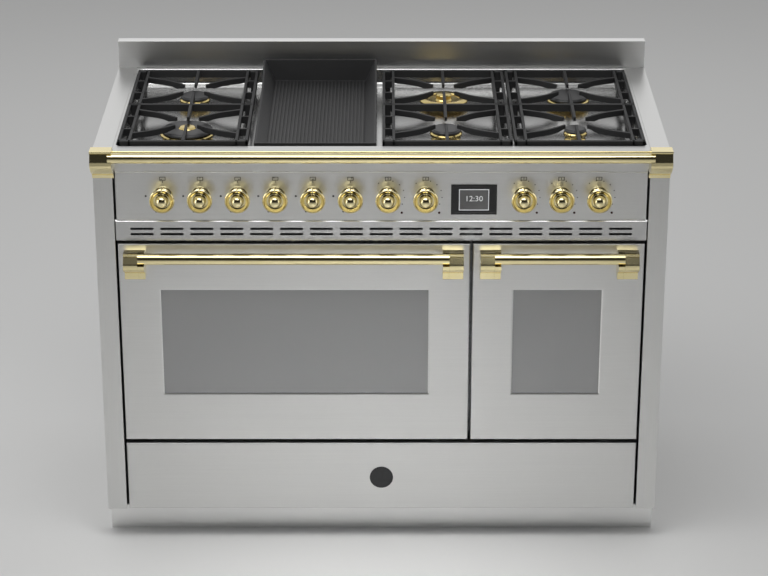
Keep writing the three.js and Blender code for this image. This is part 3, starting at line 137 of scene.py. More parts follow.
def new_finish(name, roughness, metallic=0.0, colour=None):
    """A new material, its shader and the place on the surface."""
    finish = bpy.data.materials.new(name)
    finish.use_nodes = True
    shader = finish.node_tree.nodes["Principled BSDF"]
    shader.inputs["Roughness"].default_value = roughness
    shader.inputs["Metallic"].default_value = metallic
    if colour:
        shader.inputs["Base Color"].default_value = (*colour, 1)
    place = Wire(finish.node_tree).node("ShaderNodeTexCoord", output="Object")
    return finish, shader, place


bpy.ops.mesh.primitive_plane_add(size=FLOOR_SIZE, location=(0, 0, cad_low.z))
floor = bpy.context.object
floor.name = "studio_floor"
floor_finish, floor_shader, floor_place = new_finish("studio_floor", 0.6, 0.0, FLOOR_COLOUR)
floor_shader.inputs["Specular IOR Level"].default_value = 0.2
floor.data.materials.append(floor_finish)

studio = bpy.data.worlds.new("studio")
studio.use_nodes = True
bpy.context.scene.world = studio
sky = studio.node_tree
direction = Wire(sky).node("ShaderNodeTexCoord", output="Generated")
height = direction.node("ShaderNodeSeparateXYZ", {}, {0: direction}, "Z")
depth = direction.node("ShaderNodeSeparateXYZ", {}, {0: direction}, "Y")
pale = height.node("ShaderNodeValToRGB", {"stops": SKY_STOPS}, {0: height})
curtain = height.node("ShaderNodeValToRGB", {"stops": CURTAIN_STOPS}, {0: height})
before = depth.node(
    "ShaderNodeMapRange", {}, {0: depth, 1: CURTAIN_FROM, 2: CURTAIN_TO, 3: 0, 4: 1})
sky_colour = pale.node("ShaderNodeMix", {"data_type": "RGBA"}, {0: before, 6: pale, 7: curtain}, 2)
sky_colour.into(sky.nodes["Background"].inputs["Color"])


def area_lamp(name, place, width, tall, power):
    """A rectangular lamp, hidden from the camera, that shines down until it is turned."""
    lamp = bpy.data.lights.new(name, "AREA")
    lamp.shape = "RECTANGLE"
    lamp.size, lamp.size_y, lamp.energy = width, tall, power
    holder = bpy.data.objects.new(name, lamp)
    holder.location = place
    holder.visible_camera = False
    bpy.context.scene.collection.objects.link(holder)
    return holder


for name, place, aim, width, tall, power, spread, mirrored in SOFTBOXES:
    softbox = area_lamp(f"{name}_softbox", place, width, tall, power)
    softbox.data.spread = math.radians(spread)
    softbox.rotation_euler = (Vector(aim) - Vector(place)).to_track_quat("-Z", "Y").to_euler()
    softbox.visible_glossy = mirrored


# ---------------------------------------------------------------- steel panels
# Stainless sheet with a fine grain brushed from side to side. Each front is a tray: a plate with
# folded edges and short returns, open behind.
SHEET = 0.0015
FOLD_RADIUS = 0.0028
PANEL_FOLD = 0.0015
SHELL_EASE = 0.0006
MERGE_DISTANCE = 2e-6
ON_PLANE = 1e-5
FACING = 0.9
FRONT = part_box("left_door_panel")[0].y
GRAIN_ACROSS = (5, 260, 420)
GRAIN_UPRIGHT = (420, 420, 5)


def mixed(mask, first, second):
    """A colour that goes from the first to the second with the mask."""
    inputs = {0: mask, 6: (*first, 1), 7: (*second, 1)}
    return mask.node("ShaderNodeMix", {"data_type": "RGBA"}, inputs, 2)


def noise(place, stretch, detail=2.0, roughness=0.5):
    """Noise from 0 to 1 whose grains are 1/stretch metres long, along all axes or each of them."""
    scale = stretch if isinstance(stretch, tuple) else (stretch, stretch, stretch)
    moved = place.node("ShaderNodeMapping", {}, {"Vector": place, "Scale": scale})
    inputs = {"Vector": moved, "Scale": 1.0, "Detail": detail, "Roughness": roughness}
    return place.node("ShaderNodeTexNoise", {}, inputs)


def relief(shader, pattern, strength, distance):
    """Lets a pattern stand up from the surface."""
    inputs = {"Strength": strength, "Distance": distance, "Height": pattern}
    pattern.node("ShaderNodeBump", {}, inputs).into(shader.inputs["Normal"])


def toned(name, roughness, metallic, noise_settings, dark, light,
          patches=None, spread=0, bump=None, **uniform):
    """A finish whose colour varies with a noise, and with a spread or bump its gloss or relief."""
    finish, shader, place = new_finish(name, roughness, metallic)
    tone = shade = noise(place, *noise_settings)
    if patches:
        share, *patch_settings = patches
        shade = (1 - share) * tone + share * noise(place, *patch_settings)
    mixed(shade, dark, light).into(shader.inputs["Base Color"])
    if spread:
        (roughness + spread * tone).into(shader.inputs["Roughness"])
    if bump:
        relief(shader, tone, *bump)
    for socket, value in uniform.items():
        shader.inputs[socket.replace("_", " ")].default_value = value
    return finish


def brushed(name, stretch, dark, light, roughness, spread=0.08):
    """Brushed steel: fine streaks in its colour, gloss and surface, and faint cloudy patches."""
    finish, shader, place = new_finish(name, roughness, 1.0)
    streaks = noise(place, stretch, 3.0, 0.6)
    fine = noise(place, tuple(3.1 * s for s in stretch), 2.0, 0.6)
    clouds = noise(place, 2.3, 1.0)
    shade = 0.55 * streaks + 0.25 * fine + 0.2 * clouds
    mixed(shade, dark, light).into(shader.inputs["Base Color"])
    (roughness - spread / 2 + spread * streaks).into(shader.inputs["Roughness"])
    relief(shader, fine, 0.08, 0.0002)
    return finish


steel_across = brushed(
    "steel_brushed_across", GRAIN_ACROSS, (0.67, 0.67, 0.66), (0.77, 0.77, 0.76), 0.39)
steel_upright = brushed(
    "steel_brushed_upright", GRAIN_UPRIGHT, (0.68, 0.68, 0.67), (0.77, 0.77, 0.76), 0.38)
steel_polished = brushed(
    "steel_polished", (60, 60, 60), (0.60, 0.60, 0.595), (0.70, 0.70, 0.695), 0.22, 0.05)
# The splashback's copy of the brushed steel is lighter than the fronts': painted light.
splash_painted_light_steel = brushed(
    "steel_splashback", GRAIN_ACROSS, (0.74, 0.74, 0.735), (0.84, 0.84, 0.835), 0.33, 0.05)
# The vent strip's copy of the brushed steel is darker than the fronts': painted shade.
vent_painted_shade_steel = brushed(
    "steel_vent_strip", GRAIN_ACROSS, (0.57, 0.57, 0.57), (0.68, 0.68, 0.675), 0.24)
# The plinth's copy of the brushed steel is much lighter than the fronts': painted light, so the
# plinth looks brightly lit.
steel_plinth = brushed(
    "steel_plinth", GRAIN_ACROSS, (0.88, 0.88, 0.87), (0.95, 0.95, 0.94), 0.42)


def activate(piece):
    """Makes a piece active and alone in the selection."""
    bpy.ops.object.select_all(action="DESELECT")
    piece.select_set(True)
    bpy.context.view_layer.objects.active = piece


@contextmanager
def editing():
    """Edit mode on the active piece with all of it selected."""
    bpy.ops.object.mode_set(mode="EDIT")
    bpy.ops.mesh.select_all(action="SELECT")
    yield
    bpy.ops.object.mode_set(mode="OBJECT")


@contextmanager
def chosen(piece, kind, test):
    """Edit mode with only those faces, edges or corners selected that pass the test, which is
    given the face, the edge's two ends or the corner's place."""
    bpy.ops.object.mode_set(mode="EDIT")
    bpy.ops.mesh.select_mode(type=kind)
    bpy.ops.mesh.select_all(action="DESELECT")
    bpy.ops.object.mode_set(mode="OBJECT")
    mesh = piece.data
    if kind == "FACE":
        for face in mesh.polygons:
            face.select = test(face)
    elif kind == "EDGE":
        for edge in mesh.edges:
            edge.select = test(*[mesh.vertices[i].co for i in edge.vertices])
    else:
        for corner in mesh.vertices:
            corner.select = test(corner.co)
    bpy.ops.object.mode_set(mode="EDIT")
    yield
    bpy.ops.object.mode_set(mode="OBJECT")


def extrude(x, y, z):
    """Extrudes what is selected and moves it."""
    bpy.ops.mesh.extrude_region_move(TRANSFORM_OT_translate={"value": (x, y, z)})


def round_edges(piece, test, radius, segments=4):
    """Bevels the edges whose ends pass the test."""
    with chosen(piece, "EDGE", test):
        bpy.ops.mesh.bevel(offset=radius, segments=segments, affect="EDGES")


def score(piece, test=lambda face: True, **cuts):
    """Cuts new edges into the faces that pass the test, at places along x, y or z."""
    for axis, places in cuts.items():
        normal = Vector([axis == name for name in "xyz"])
        for place in places:
            with chosen(piece, "FACE", test):
                bpy.ops.mesh.bisect(plane_co=normal * place, plane_no=normal)


def settle():
    """Puts the active piece's place, turn and size into its corners."""
    bpy.ops.object.transform_apply(location=True, rotation=True, scale=True)
    return bpy.context.object


def start_block(low, high):
    """A cube primitive between two corners, active and alone in the selection."""
    low, high = Vector(low), Vector(high)
    bpy.ops.mesh.primitive_cube_add(size=1, location=(low + high) / 2, scale=high - low)
    return settle()


def joined(pieces):
    """Joins pieces into the first one."""
    bpy.ops.object.select_all(action="DESELECT")
    for piece in pieces:
        piece.select_set(True)
    bpy.context.view_layer.objects.active = pieces[0]
    bpy.ops.object.join()
    return pieces[0]


def use_modifier(piece, kind, **settings):
    """Adds a modifier with its settings and applies it."""
    bpy.context.view_layer.objects.active = piece
    modifier = piece.modifiers.new(kind.lower(), kind)
    for key, value in settings.items():
        setattr(modifier, key, value)
    bpy.ops.object.modifier_apply(modifier=modifier.name)
    return piece


def cut(piece, cutter):
    """Takes the cutter's shape out of a piece, and the cutter out of the scene."""
    use_modifier(piece, "BOOLEAN", operation="DIFFERENCE", object=cutter, solver="EXACT")
    bpy.data.objects.remove(cutter)


def smooth_shading(piece, angle):
    """Smooths the shading over shallow edges, with the large flat faces kept flat."""
    activate(piece)
    bpy.ops.object.shade_smooth_by_angle(angle=math.radians(angle))
    return use_modifier(piece, "WEIGHTED_NORMAL", keep_sharp=True)


def ease(piece, radius, segments=2):
    """Rounds the sharp edges by a small radius and smooths the shading."""
    use_modifier(piece, "BEVEL", width=radius, segments=segments, limit_method="ANGLE",
                 angle_limit=math.radians(35), use_clamp_overlap=True, miter_outer="MITER_ARC")
    return smooth_shading(piece, 35)


def thicken(piece, thickness=SHEET):
    """Gives a modelled skin the thickness of its sheet, inwards."""
    use_modifier(piece, "SOLIDIFY", thickness=thickness, offset=-1, use_even_offset=True)
    return smooth_shading(piece, 30)


def set_piece(piece, name, finish, node=None, body="root"):
    """Names a piece, gives it its finish, hangs it on the body it rides on, and hides the part it
    stands for.
    """
    piece.name = name
    piece.data.name = name
    piece.data.materials.clear()
    piece.data.materials.append(finish)
    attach(piece, body)
    if node:
        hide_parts(node)


def placed_copy(pattern, name, shift=Vector()):
    """A copy of a mesh whose corners are moved, while its origin stays put."""
    copy = bpy.data.objects.new(name, pattern.data.copy())
    bpy.context.scene.collection.objects.link(copy)
    for corner in copy.data.vertices:
        corner.co += shift
    return copy


def merged_copy(node):
    """A copy of a sheet or cast part with its corners merged, active and alone in the selection."""
    piece = placed_copy(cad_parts[node], node + "_eased")
    activate(piece)
    with editing():
        bpy.ops.mesh.remove_doubles(threshold=MERGE_DISTANCE)
    return piece


def set_eased_copy(node, name, finish, radius=SHELL_EASE, segments=2, body="root"):
    """Sets a copy of a part with plain flat faces in its place, its sharp edges eased."""
    piece = merged_copy(node)
    with editing():
        bpy.ops.mesh.dissolve_limited(angle_limit=math.radians(1))
    set_piece(ease(piece, radius, segments), name, finish, node, body)


def folded_tray(low, high, depth, fold=FOLD_RADIUS, bottom_depth=0, segments=4):
    """An open-backed tray of folded sheet; its front stands at the lower corner's Y."""
    piece = start_block(low, (high.x, low.y + depth, high.z))
    with chosen(piece, "FACE", lambda face: face.normal.y > FACING
                or (bottom_depth > 0 and face.normal.z < -FACING)):
        bpy.ops.mesh.delete(type="FACE")
    at_front = lambda a, b: max(a.y, b.y) < low.y + ON_PLANE
    at_foot = lambda a, b: at_front(a, b) and max(a.z, b.z) < low.z + ON_PLANE
    if bottom_depth > 0:
        with chosen(piece, "EDGE", at_foot):
            extrude(0, bottom_depth, 0)
    round_edges(piece, at_front, fold, segments)
    return piece


def set_tray(node, name, finish, fold=FOLD_RADIUS, body="root"):
    """Sets a tray of folded sheet in the place of a front."""
    low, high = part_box(node)
    piece = thicken(folded_tray(low, high, high.y - low.y, fold))
    set_piece(piece, name, finish, node, body)


# The body shell has side panels with their column flanges, a plinth and a low splashback.
for side in ("left", "right"):
    set_eased_copy(f"{side}_side_panel", f"{side}_side_sheet", steel_upright)
# The plinth's steel carries painted light: its colour is much lighter than the other steel.
set_eased_copy("plinth", "plinth_skirt", steel_plinth)
# The splashback's steel carries painted light: its colour is lighter than the fronts'.
set_eased_copy("splashback", "splashback_fold", splash_painted_light_steel)

# The drawer front and the control panel are plain trays; the panel carries the knobs and the clock.
set_tray("drawer_front", "drawer_front_tray", steel_across, body="drawer")
set_tray("control_panel", "control_panel_tray", steel_across, PANEL_FOLD)


# ---------------------------------------------------------------- vent strip
# The strip under the controls has a bright chamfer round its face and lets cooling air out through
# two rows of punched slots.
VENT_CHAMFER = 0.003
SLOT_COLUMNS = 17
SLOT_PITCH = 0.0627
SLOT_SIZE = Vector((0.049, 0.02, 0.005))
SLOT_RADIUS = 0.0024
SLOT_ROWS = (0.0169, 0.0288)

vent_low, vent_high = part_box("vent_grille")
vent = thicken(
    folded_tray(vent_low, vent_high, vent_high.y - vent_low.y, VENT_CHAMFER, segments=1))
punches = []
for rise in SLOT_ROWS:
    for column in range(SLOT_COLUMNS):
        x = (column - (SLOT_COLUMNS - 1) / 2) * SLOT_PITCH
        centre = Vector((x, FRONT, vent_low.z + rise))
        punch = start_block(centre - SLOT_SIZE / 2, centre + SLOT_SIZE / 2)
        round_edges(punch, lambda a, b: abs(a.y - b.y) > SLOT_SIZE.y / 2, SLOT_RADIUS, 3)
        punches.append(punch)
cut(vent, joined(punches))
smooth_shading(vent, 30)
# The vent strip's steel carries painted shade: its colour is darker than the fronts'.
set_piece(vent, "vent_strip", vent_painted_shade_steel, "vent_grille")


# ---------------------------------------------------------------- doors
# Each door is a steel tray with a window whose edge slopes in to the tinted outer pane, round a
# black frame that holds a clear inner pane. The outer pane's pale grey colour is a painted
# reflection of the pale studio on the tinted glass.
WINDOW_SLOPE, WINDOW_SINK = 0.004, 0.0022
BOTTOM_RETURN, SIDE_RETURN = 0.006, 0.030
GLASS_OVERLAP, GLASS_SINK = 0.012, 0.0012
DOOR_SHEET = 0.0012

# The outer pane's pale grey colour is a painted reflection of the pale studio on the tinted glass.
oven_glass = toned("oven_glass", 0.12, 0.0, (3, 1.0), (0.50, 0.502, 0.503), (0.54, 0.542, 0.543),
                   Alpha=0.6, Specular_IOR_Level=0.8)
inner_glass, inner_shader, inner_place = new_finish("inner_glass", 0.03, 0.0, (0.02, 0.02, 0.02))
inner_shader.inputs["Alpha"].default_value = 0.16
inner_smears = noise(inner_place, (6, 6, 2))
(0.03 + 0.05 * inner_smears).into(inner_shader.inputs["Roughness"])

door_enamel = toned(
    "door_frame_enamel", 0.45, 0.0, (700, 1.0), (0.012, 0.012, 0.013), (0.03, 0.03, 0.032))


def cut_window(door, low, high):
    """Cuts a window in the tray's plate and turns its edge in by a short slope."""
    is_plate = lambda face: face.normal.y < -0.99
    score(door, is_plate, x=(low.x, high.x), z=(low.z, high.z))
    with chosen(door, "FACE", lambda face: is_plate(face) and low.x < face.center.x < high.x
                and low.z < face.center.z < high.z):
        bpy.ops.mesh.inset(thickness=WINDOW_SLOPE, depth=-WINDOW_SINK)
        bpy.ops.mesh.delete(type="FACE")


window_edge = GLASS_OVERLAP - WINDOW_SLOPE / 2
window_margin = Vector((window_edge, 0, window_edge))
for door in ("left_door", "right_door"):
    pane_low, pane_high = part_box(f"{door}_outer_glass")
    skin = folded_tray(*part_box(f"{door}_panel"), SIDE_RETURN, FOLD_RADIUS, BOTTOM_RETURN)
    cut_window(skin, pane_low + window_margin, pane_high - window_margin)
    thicken(skin, DOOR_SHEET)
    set_piece(skin, f"{door}_skin", steel_across, f"{door}_panel", door)
    set_eased_copy(f"{door}_frame", f"{door}_inner_frame", door_enamel, 0.0008,
                   body=door)
    pane = ease(start_block(pane_low + Vector((0, GLASS_SINK, 0)), pane_high), 0.0004)
    # The outer pane's glass carries a painted reflection in its pale grey colour.
    set_piece(pane, f"{door}_outer_pane", oven_glass, f"{door}_outer_glass", door)
    pane = ease(start_block(*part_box(f"{door}_inner_glass")), 0.0006)
    set_piece(pane, f"{door}_inner_pane", inner_glass, f"{door}_inner_glass", door)


# ---------------------------------------------------------------- brass rail, brackets and handles
# Polished and lacquered brass. The brackets are castings with a top ledge, a cove, a swelling that
# holds the bar, and a small foot against the steel.
BRACKET_SEAT = 0.0003
BRACKET_EASE = 0.0009
RAIL_RADIUS = 0.0103
GRIP_RADIUS, GRIP_STANDOFF, GRIP_RISE_SHARE = 0.012, 0.037, 0.81
GRIP_BRACKET_WIDTH = 0.0435
BAR_SEGMENTS = 40
CRADLE, CRADLE_PLAY, CRADLE_EASE = 0.0135, 0.0012, 0.0005
CUT_PAST = 0.001
TRIM_HALF, TRIM_SINK, TRIM_END = 0.0025, 0.001, 0.006


polished_brass = toned(
    "polished_brass", 0.10, 1.0, (22, 3.0), (0.82, 0.71, 0.38), (0.91, 0.81, 0.50), spread=0.04)
burner_brass = toned(
    "burner_brass", 0.20, 1.0, (22, 3.0), (0.60, 0.47, 0.18), (0.80, 0.65, 0.31), spread=0.04)


def smooth_line(points, steps=5):
    """Points on a smooth curve that passes through the given ones."""
    line = []
    padded = [points[0], *points, points[-1]]
    for four in zip(padded, padded[1:], padded[2:], padded[3:]):
        for step in range(steps):
            t = step / steps
            line.append(tuple(
                0.5 * (2 * b + (c - a) * t + (2 * a - 5 * b + 4 * c - d) * t * t
                       + (3 * b - a - 3 * c + d) * t ** 3)
                for a, b, c, d in zip(*four)))
    return [*line, tuple(points[-1])]


def drawn_line(points):
    """A chain of corners, each extruded from the one before."""
    bpy.ops.mesh.primitive_plane_add(size=0.001, location=points[0])
    with editing():
        bpy.ops.mesh.select_mode(type="VERT")
        bpy.ops.mesh.merge(type="CENTER")
        for start, end in zip(points, points[1:]):
            extrude(*(Vector(end) - Vector(start)))
    return settle()


def drawn_out(outline, along):
    """A closed outline of corners, filled and drawn out by a vector."""
    piece = drawn_line(outline)
    with editing():
        bpy.ops.mesh.edge_face_add()
        extrude(*along)
        bpy.ops.mesh.select_all(action="SELECT")
        bpy.ops.mesh.normals_make_consistent(inside=False)
    return piece


def moulding(outline, low, high):
    """A closed outline of (Y, Z) points, filled and drawn out along X."""
    return drawn_out([(low, y, z) for y, z in outline], (high - low, 0, 0))


def turned(profile, centre, axis, steps):
    """A profile of (radius, distance along the axis) points, spun round the axis."""
    centre = Vector(centre)
    axis = Vector(axis)
    across = Vector((1, 0, 0)) if abs(axis.x) < 0.5 else Vector((0, 0, 1))
    piece = drawn_line([centre + across * r + axis * a for r, a in profile])
    with editing():
        bpy.ops.mesh.spin(steps=steps, angle=math.tau, center=centre, axis=axis)
        bpy.ops.mesh.select_all(action="SELECT")
        bpy.ops.mesh.remove_doubles(threshold=1e-6)
        bpy.ops.mesh.normals_make_consistent(inside=False)
    return smooth_shading(piece, 32)


def round_bar(start, radius, length):
    """A plain round bar that runs along X from its start."""
    return turned([(0, 0), (radius, 0), (radius, length), (0, length)], start, (1, 0, 0),
                  BAR_SEGMENTS)


def corbel(low, high, foot_reach, foot_rise, shoulder, ledge):
    """A bracket's side outline: foot, swelling, a face that leans back to the shoulder, ledge."""
    foot = [(0, 0), (foot_reach - 0.02, 0), (foot_reach, 0.015), (foot_reach, foot_rise)]
    swelling = smooth_line([(foot_reach + 0.03, foot_rise + 0.03),
                            ((foot_reach + 1.1) / 2, (foot_rise + 0.5) / 2),
                            (0.97, 0.5), (1.0, 0.62), (0.985, 0.7)])
    top = [(shoulder, 0.91), (shoulder, 0.93), (ledge - 0.015, 0.935), (ledge, 0.95),
           (ledge, 0.985), (ledge - 0.02, 1), (0.3, 1), (0, 0.86)]
    reach = FRONT - low.y - BRACKET_SEAT
    return [(FRONT - BRACKET_SEAT - p * reach, low.z + h * (high.z - low.z))
            for p, h in [*foot, *swelling, *top]]


for side in ("left", "right"):
    node = f"rail_bracket_{side}"
    low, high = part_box(node)
    bracket = ease(moulding(corbel(low, high, 0.16, 0.08, 0.84, 0.97), low.x, high.x), BRACKET_EASE)
    set_piece(bracket, f"rail_corner_{side}", polished_brass, node)

rail_low, rail_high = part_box("front_rail")
rail_centre = (rail_low + rail_high) / 2
rail = round_bar((rail_low.x, rail_centre.y, rail_centre.z), RAIL_RADIUS, rail_high.x - rail_low.x)
set_piece(rail, "front_rail_bar", polished_brass, "front_rail")

for side in ("left", "right"):
    node = f"{side}_door_handle"
    low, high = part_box(node)
    outline = corbel(low, high, 0.44, 0.22, 0.79, 0.86)
    bar_y = FRONT - GRIP_STANDOFF
    bar_z = low.z + GRIP_RISE_SHARE * (high.z - low.z)
    brackets = []
    for outer, inwards in ((low.x, 1), (high.x, -1)):
        inner = outer + inwards * GRIP_BRACKET_WIDTH
        cheek = inner - inwards * CRADLE
        bracket = moulding(outline, min(cheek, outer), max(cheek, outer))
        brackets.append(ease(bracket, BRACKET_EASE))
        start, end = min(inner, cheek), max(inner, cheek)
        cradle = moulding(outline, start, end)
        cut(cradle, round_bar((start - CUT_PAST, bar_y, bar_z), GRIP_RADIUS + CRADLE_PLAY,
                              2 * CRADLE))
        cut(cradle, start_block((start - CUT_PAST, low.y - CUT_PAST, bar_z - GRIP_RADIUS),
                                (end + CUT_PAST, bar_y, bar_z + GRIP_RADIUS)))
        brackets.append(ease(cradle, CRADLE_EASE))
    bar_low = low.x + GRIP_BRACKET_WIDTH - CRADLE
    bar_high = high.x - GRIP_BRACKET_WIDTH + CRADLE
    bar = round_bar((bar_low, bar_y, bar_z), GRIP_RADIUS, bar_high - bar_low)
    set_piece(joined([bar, *brackets]), f"{side}_door_grip", polished_brass, node,
              f"{side}_door")

# A thin half-round brass strip covers the front edge of the hob deck above the rail.
deck_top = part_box("left_side_panel")[1].z
trim_y, trim_z = FRONT, deck_top - TRIM_SINK
trim_outline = [(trim_y - TRIM_HALF * math.sin(step * math.pi / 8),
                 trim_z + TRIM_HALF * math.cos(step * math.pi / 8)) for step in range(9)]
trim = moulding(trim_outline, rail_low.x + TRIM_END, rail_high.x - TRIM_END)
set_piece(smooth_shading(trim, 40), "deck_edge_trim", polished_brass)


# ---------------------------------------------------------------- knobs
# Cast brass knobs on shafts through the panel: a fluted neck that flares to a round rim, a dished
# face with a polished dome in the middle, and a raised pointer along the top.
KNOB_STEPS = 48
KNOB_PROFILE = [
    (0.0, 0.0008), (0.0205, 0.0008), (0.0212, 0.002), (0.0205, 0.0035), (0.0185, 0.0045),
    *smooth_line([(0.0172, 0.007), (0.0165, 0.012), (0.0178, 0.019), (0.0225, 0.026),
                  (0.0258, 0.0295)], 4),
    (0.0265, 0.031), (0.0262, 0.0325), (0.0252, 0.0335), (0.0238, 0.0333),
    *smooth_line([(0.0225, 0.0315), (0.0185, 0.0285), (0.0148, 0.0278), (0.0135, 0.0285)], 3),
    *smooth_line([(0.0132, 0.0305), (0.013, 0.035), (0.0118, 0.0402), (0.0088, 0.0442),
                  (0.0045, 0.0464), (0.0, 0.047)], 3),
]
FLUTE_COLUMNS, FLUTE_FROM, FLUTE_TO, FLUTE_CORE = 4, 0.0055, 0.0275, 0.0155
FLUTE_CUTS = ((0.90, (2,)), (0.945, (1, 3)))
POINTER = ((-0.0016, -0.0335, 0.014), (0.0016, -0.004, 0.0215))
POINTER_FLARE = 0.0052

knob_centre = Vector((0, FRONT, 0))
knob_pattern = turned(KNOB_PROFILE, knob_centre, (0, -1, 0), KNOB_STEPS)
for share, columns in FLUTE_CUTS:
    def is_hollow(place):
        column = round(math.atan2(place.z, place.x) / math.tau * KNOB_STEPS)
        return (FLUTE_FROM < FRONT - place.y < FLUTE_TO
                and math.hypot(place.x, place.z) > FLUTE_CORE
                and column % FLUTE_COLUMNS in columns)
    with chosen(knob_pattern, "VERT", is_hollow):
        bpy.ops.transform.resize(value=(share, 1, share), center_override=knob_centre)
pointer = start_block(*[knob_centre + Vector(corner) for corner in POINTER])
with chosen(pointer, "VERT", lambda place: place.y < FRONT + POINTER[1][1] - ON_PLANE):
    bpy.ops.transform.translate(value=(0, 0, POINTER_FLARE))
ease(pointer, 0.0011, 3)
knob_pattern = joined([knob_pattern, pointer])
bpy.ops.object.shade_smooth_by_angle(angle=math.radians(40))

knob_spots = []
for node in sorted(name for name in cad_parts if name.startswith("knob_")):
    low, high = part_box(node)
    middle = (low + high) / 2
    knob_spots.append(middle)
    knob = placed_copy(knob_pattern, node + "_brass", Vector((middle.x, 0, middle.z)))
    set_piece(knob, node + "_brass", polished_brass, node, node)
bpy.data.objects.remove(knob_pattern)


# ---------------------------------------------------------------- printed marks and lamps
# Fine black marks are printed on the panel round each knob: a small sign over it, dots for its
# settings, and a lamp below right of each oven knob.
PRINT = 0.0002
GAS_KNOBS = 6
# Each mark: x and z from the knob's middle, then width and height of a bar, or radius of a dot.
SIGN_RISE = 0.0385
SIGN = [(-0.0058, SIGN_RISE, 0.0012, 0.0078), (0.0058, SIGN_RISE, 0.0012, 0.0078),
        (0, SIGN_RISE - 0.0034, 0.0128, 0.0012), (0, SIGN_RISE + 0.0034, 0.0128, 0.0012)]
GAS_SCALE = [(0, 0.0315, 0.0013, 0.005), (-0.036, 0, 0.0022), (-0.0155, -0.0345, 0.002)]
BURNER_STEP, BURNER_ROW, BURNER_DOT = 0.0028, 0.0018, 0.0011
OVEN_SIGN = (0, SIGN_RISE, 0.0012, 0.0045)
SCALE_RADIUS, SCALE_DOT = 0.0345, 0.0012
SCALE_ANGLES = [math.radians(125 - step * 26) for step in range(10)]
JEWEL_PLACE = Vector((0.0287, 0, -0.037))
JEWEL_PROFILE = [(0, 0), (0.0026, 0), (0.0026, 0.0006), (0.0021, 0.0014), (0.0011, 0.0019),
                 (0, 0.002)]

ink = toned("black_print", 0.5, 0.0, (900,), (0.012, 0.012, 0.012), (0.04, 0.04, 0.04))
lamp_jewel = toned("lamp_jewel", 0.12, 0.0, (300, 1.0), (0.03, 0.012, 0.01), (0.07, 0.02, 0.016))


def round_rod(start, end, radius, sides):
    """A round rod between two points."""
    start, end = Vector(start), Vector(end)
    bpy.ops.mesh.primitive_cylinder_add(
        vertices=sides, radius=radius, depth=(end - start).length, location=(start + end) / 2,
        rotation=(end - start).to_track_quat("Z", "Y").to_euler())
    return settle()


def mark(x, z, wide, tall=None):
    """A flat printed bar on the panel, or a dot where its radius is all that is given."""
    if tall is None:
        return round_rod((x, FRONT - PRINT, z), (x, FRONT + PRINT, z), wide, 12)
    return start_block((x - wide / 2, FRONT - PRINT, z - tall / 2),
                       (x + wide / 2, FRONT + PRINT, z + tall / 2))


marks = []
for number, spot in enumerate(knob_spots):
    if number < GAS_KNOBS:
        row = BURNER_ROW if number % 2 else -BURNER_ROW
        burner = (BURNER_STEP * (number % 3 - 1), SIGN_RISE + row, BURNER_DOT)
        printed = [*SIGN, burner, *GAS_SCALE]
    else:
        scale = [(SCALE_RADIUS * math.cos(angle), SCALE_RADIUS * math.sin(angle), SCALE_DOT)
                 for angle in SCALE_ANGLES]
        printed = [*SIGN, OVEN_SIGN, *scale]
    marks += [mark(spot.x + x, spot.z + z, *size) for x, z, *size in printed]
set_piece(joined(marks), "panel_marks", ink)

jewels = []
for spot in knob_spots[GAS_KNOBS:]:
    foot = Vector((spot.x, FRONT, spot.z)) + JEWEL_PLACE
    jewels.append(turned(JEWEL_PROFILE, foot, (0, -1, 0), 16))
set_piece(joined(jewels), "panel_lamps", lamp_jewel)


# ---------------------------------------------------------------- the clock
# A black glass front in a slim black frame is clipped into the panel. A grey screen behind it
# shows the time inside a thin white line.
CLOCK_FRAME, CLOCK_STEP, CLOCK_SINK = 0.0035, 0.0006, 0.0008
SCREEN_INSET = Vector((0.0165, 0, 0.0095))
SCREEN_SINK, SCREEN_BACK = 0.0003, 0.0015
LINE_WIDE, LINE_DEEP = 0.0016, 0.0006
DIGIT_SIZE, DIGIT_DEEP = 0.017, 0.0001
DIGIT_PLACE = Vector((0, 0.0002, 0.002))

black_glass, black_glass_shader, black_glass_place = new_finish(
    "black_glass", 0.07, 0.0, (0.012, 0.012, 0.013))
smears = noise(black_glass_place, (12, 12, 4))
(0.05 + 0.08 * smears).into(black_glass_shader.inputs["Roughness"])
screen_grey = toned("screen_grey", 0.25, 0.0, (25, 1.0), (0.10, 0.10, 0.102), (0.22, 0.22, 0.222))
digit_white = toned("digit_white", 0.4, 0.0, (400, 1.0), (0.6, 0.6, 0.62), (0.8, 0.8, 0.8),
                    Emission_Color=(0.9, 0.93, 0.95, 1), Emission_Strength=0.3)

clock_low, clock_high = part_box("display_unit")
clock = start_block(clock_low, clock_high)
with chosen(clock, "FACE", lambda face: face.normal.y < -FACING):
    bpy.ops.mesh.inset(thickness=CLOCK_FRAME)
    bpy.ops.mesh.inset(thickness=CLOCK_STEP, depth=-CLOCK_SINK)
set_piece(ease(clock, 0.0004), "clock_front", black_glass, "display_unit")

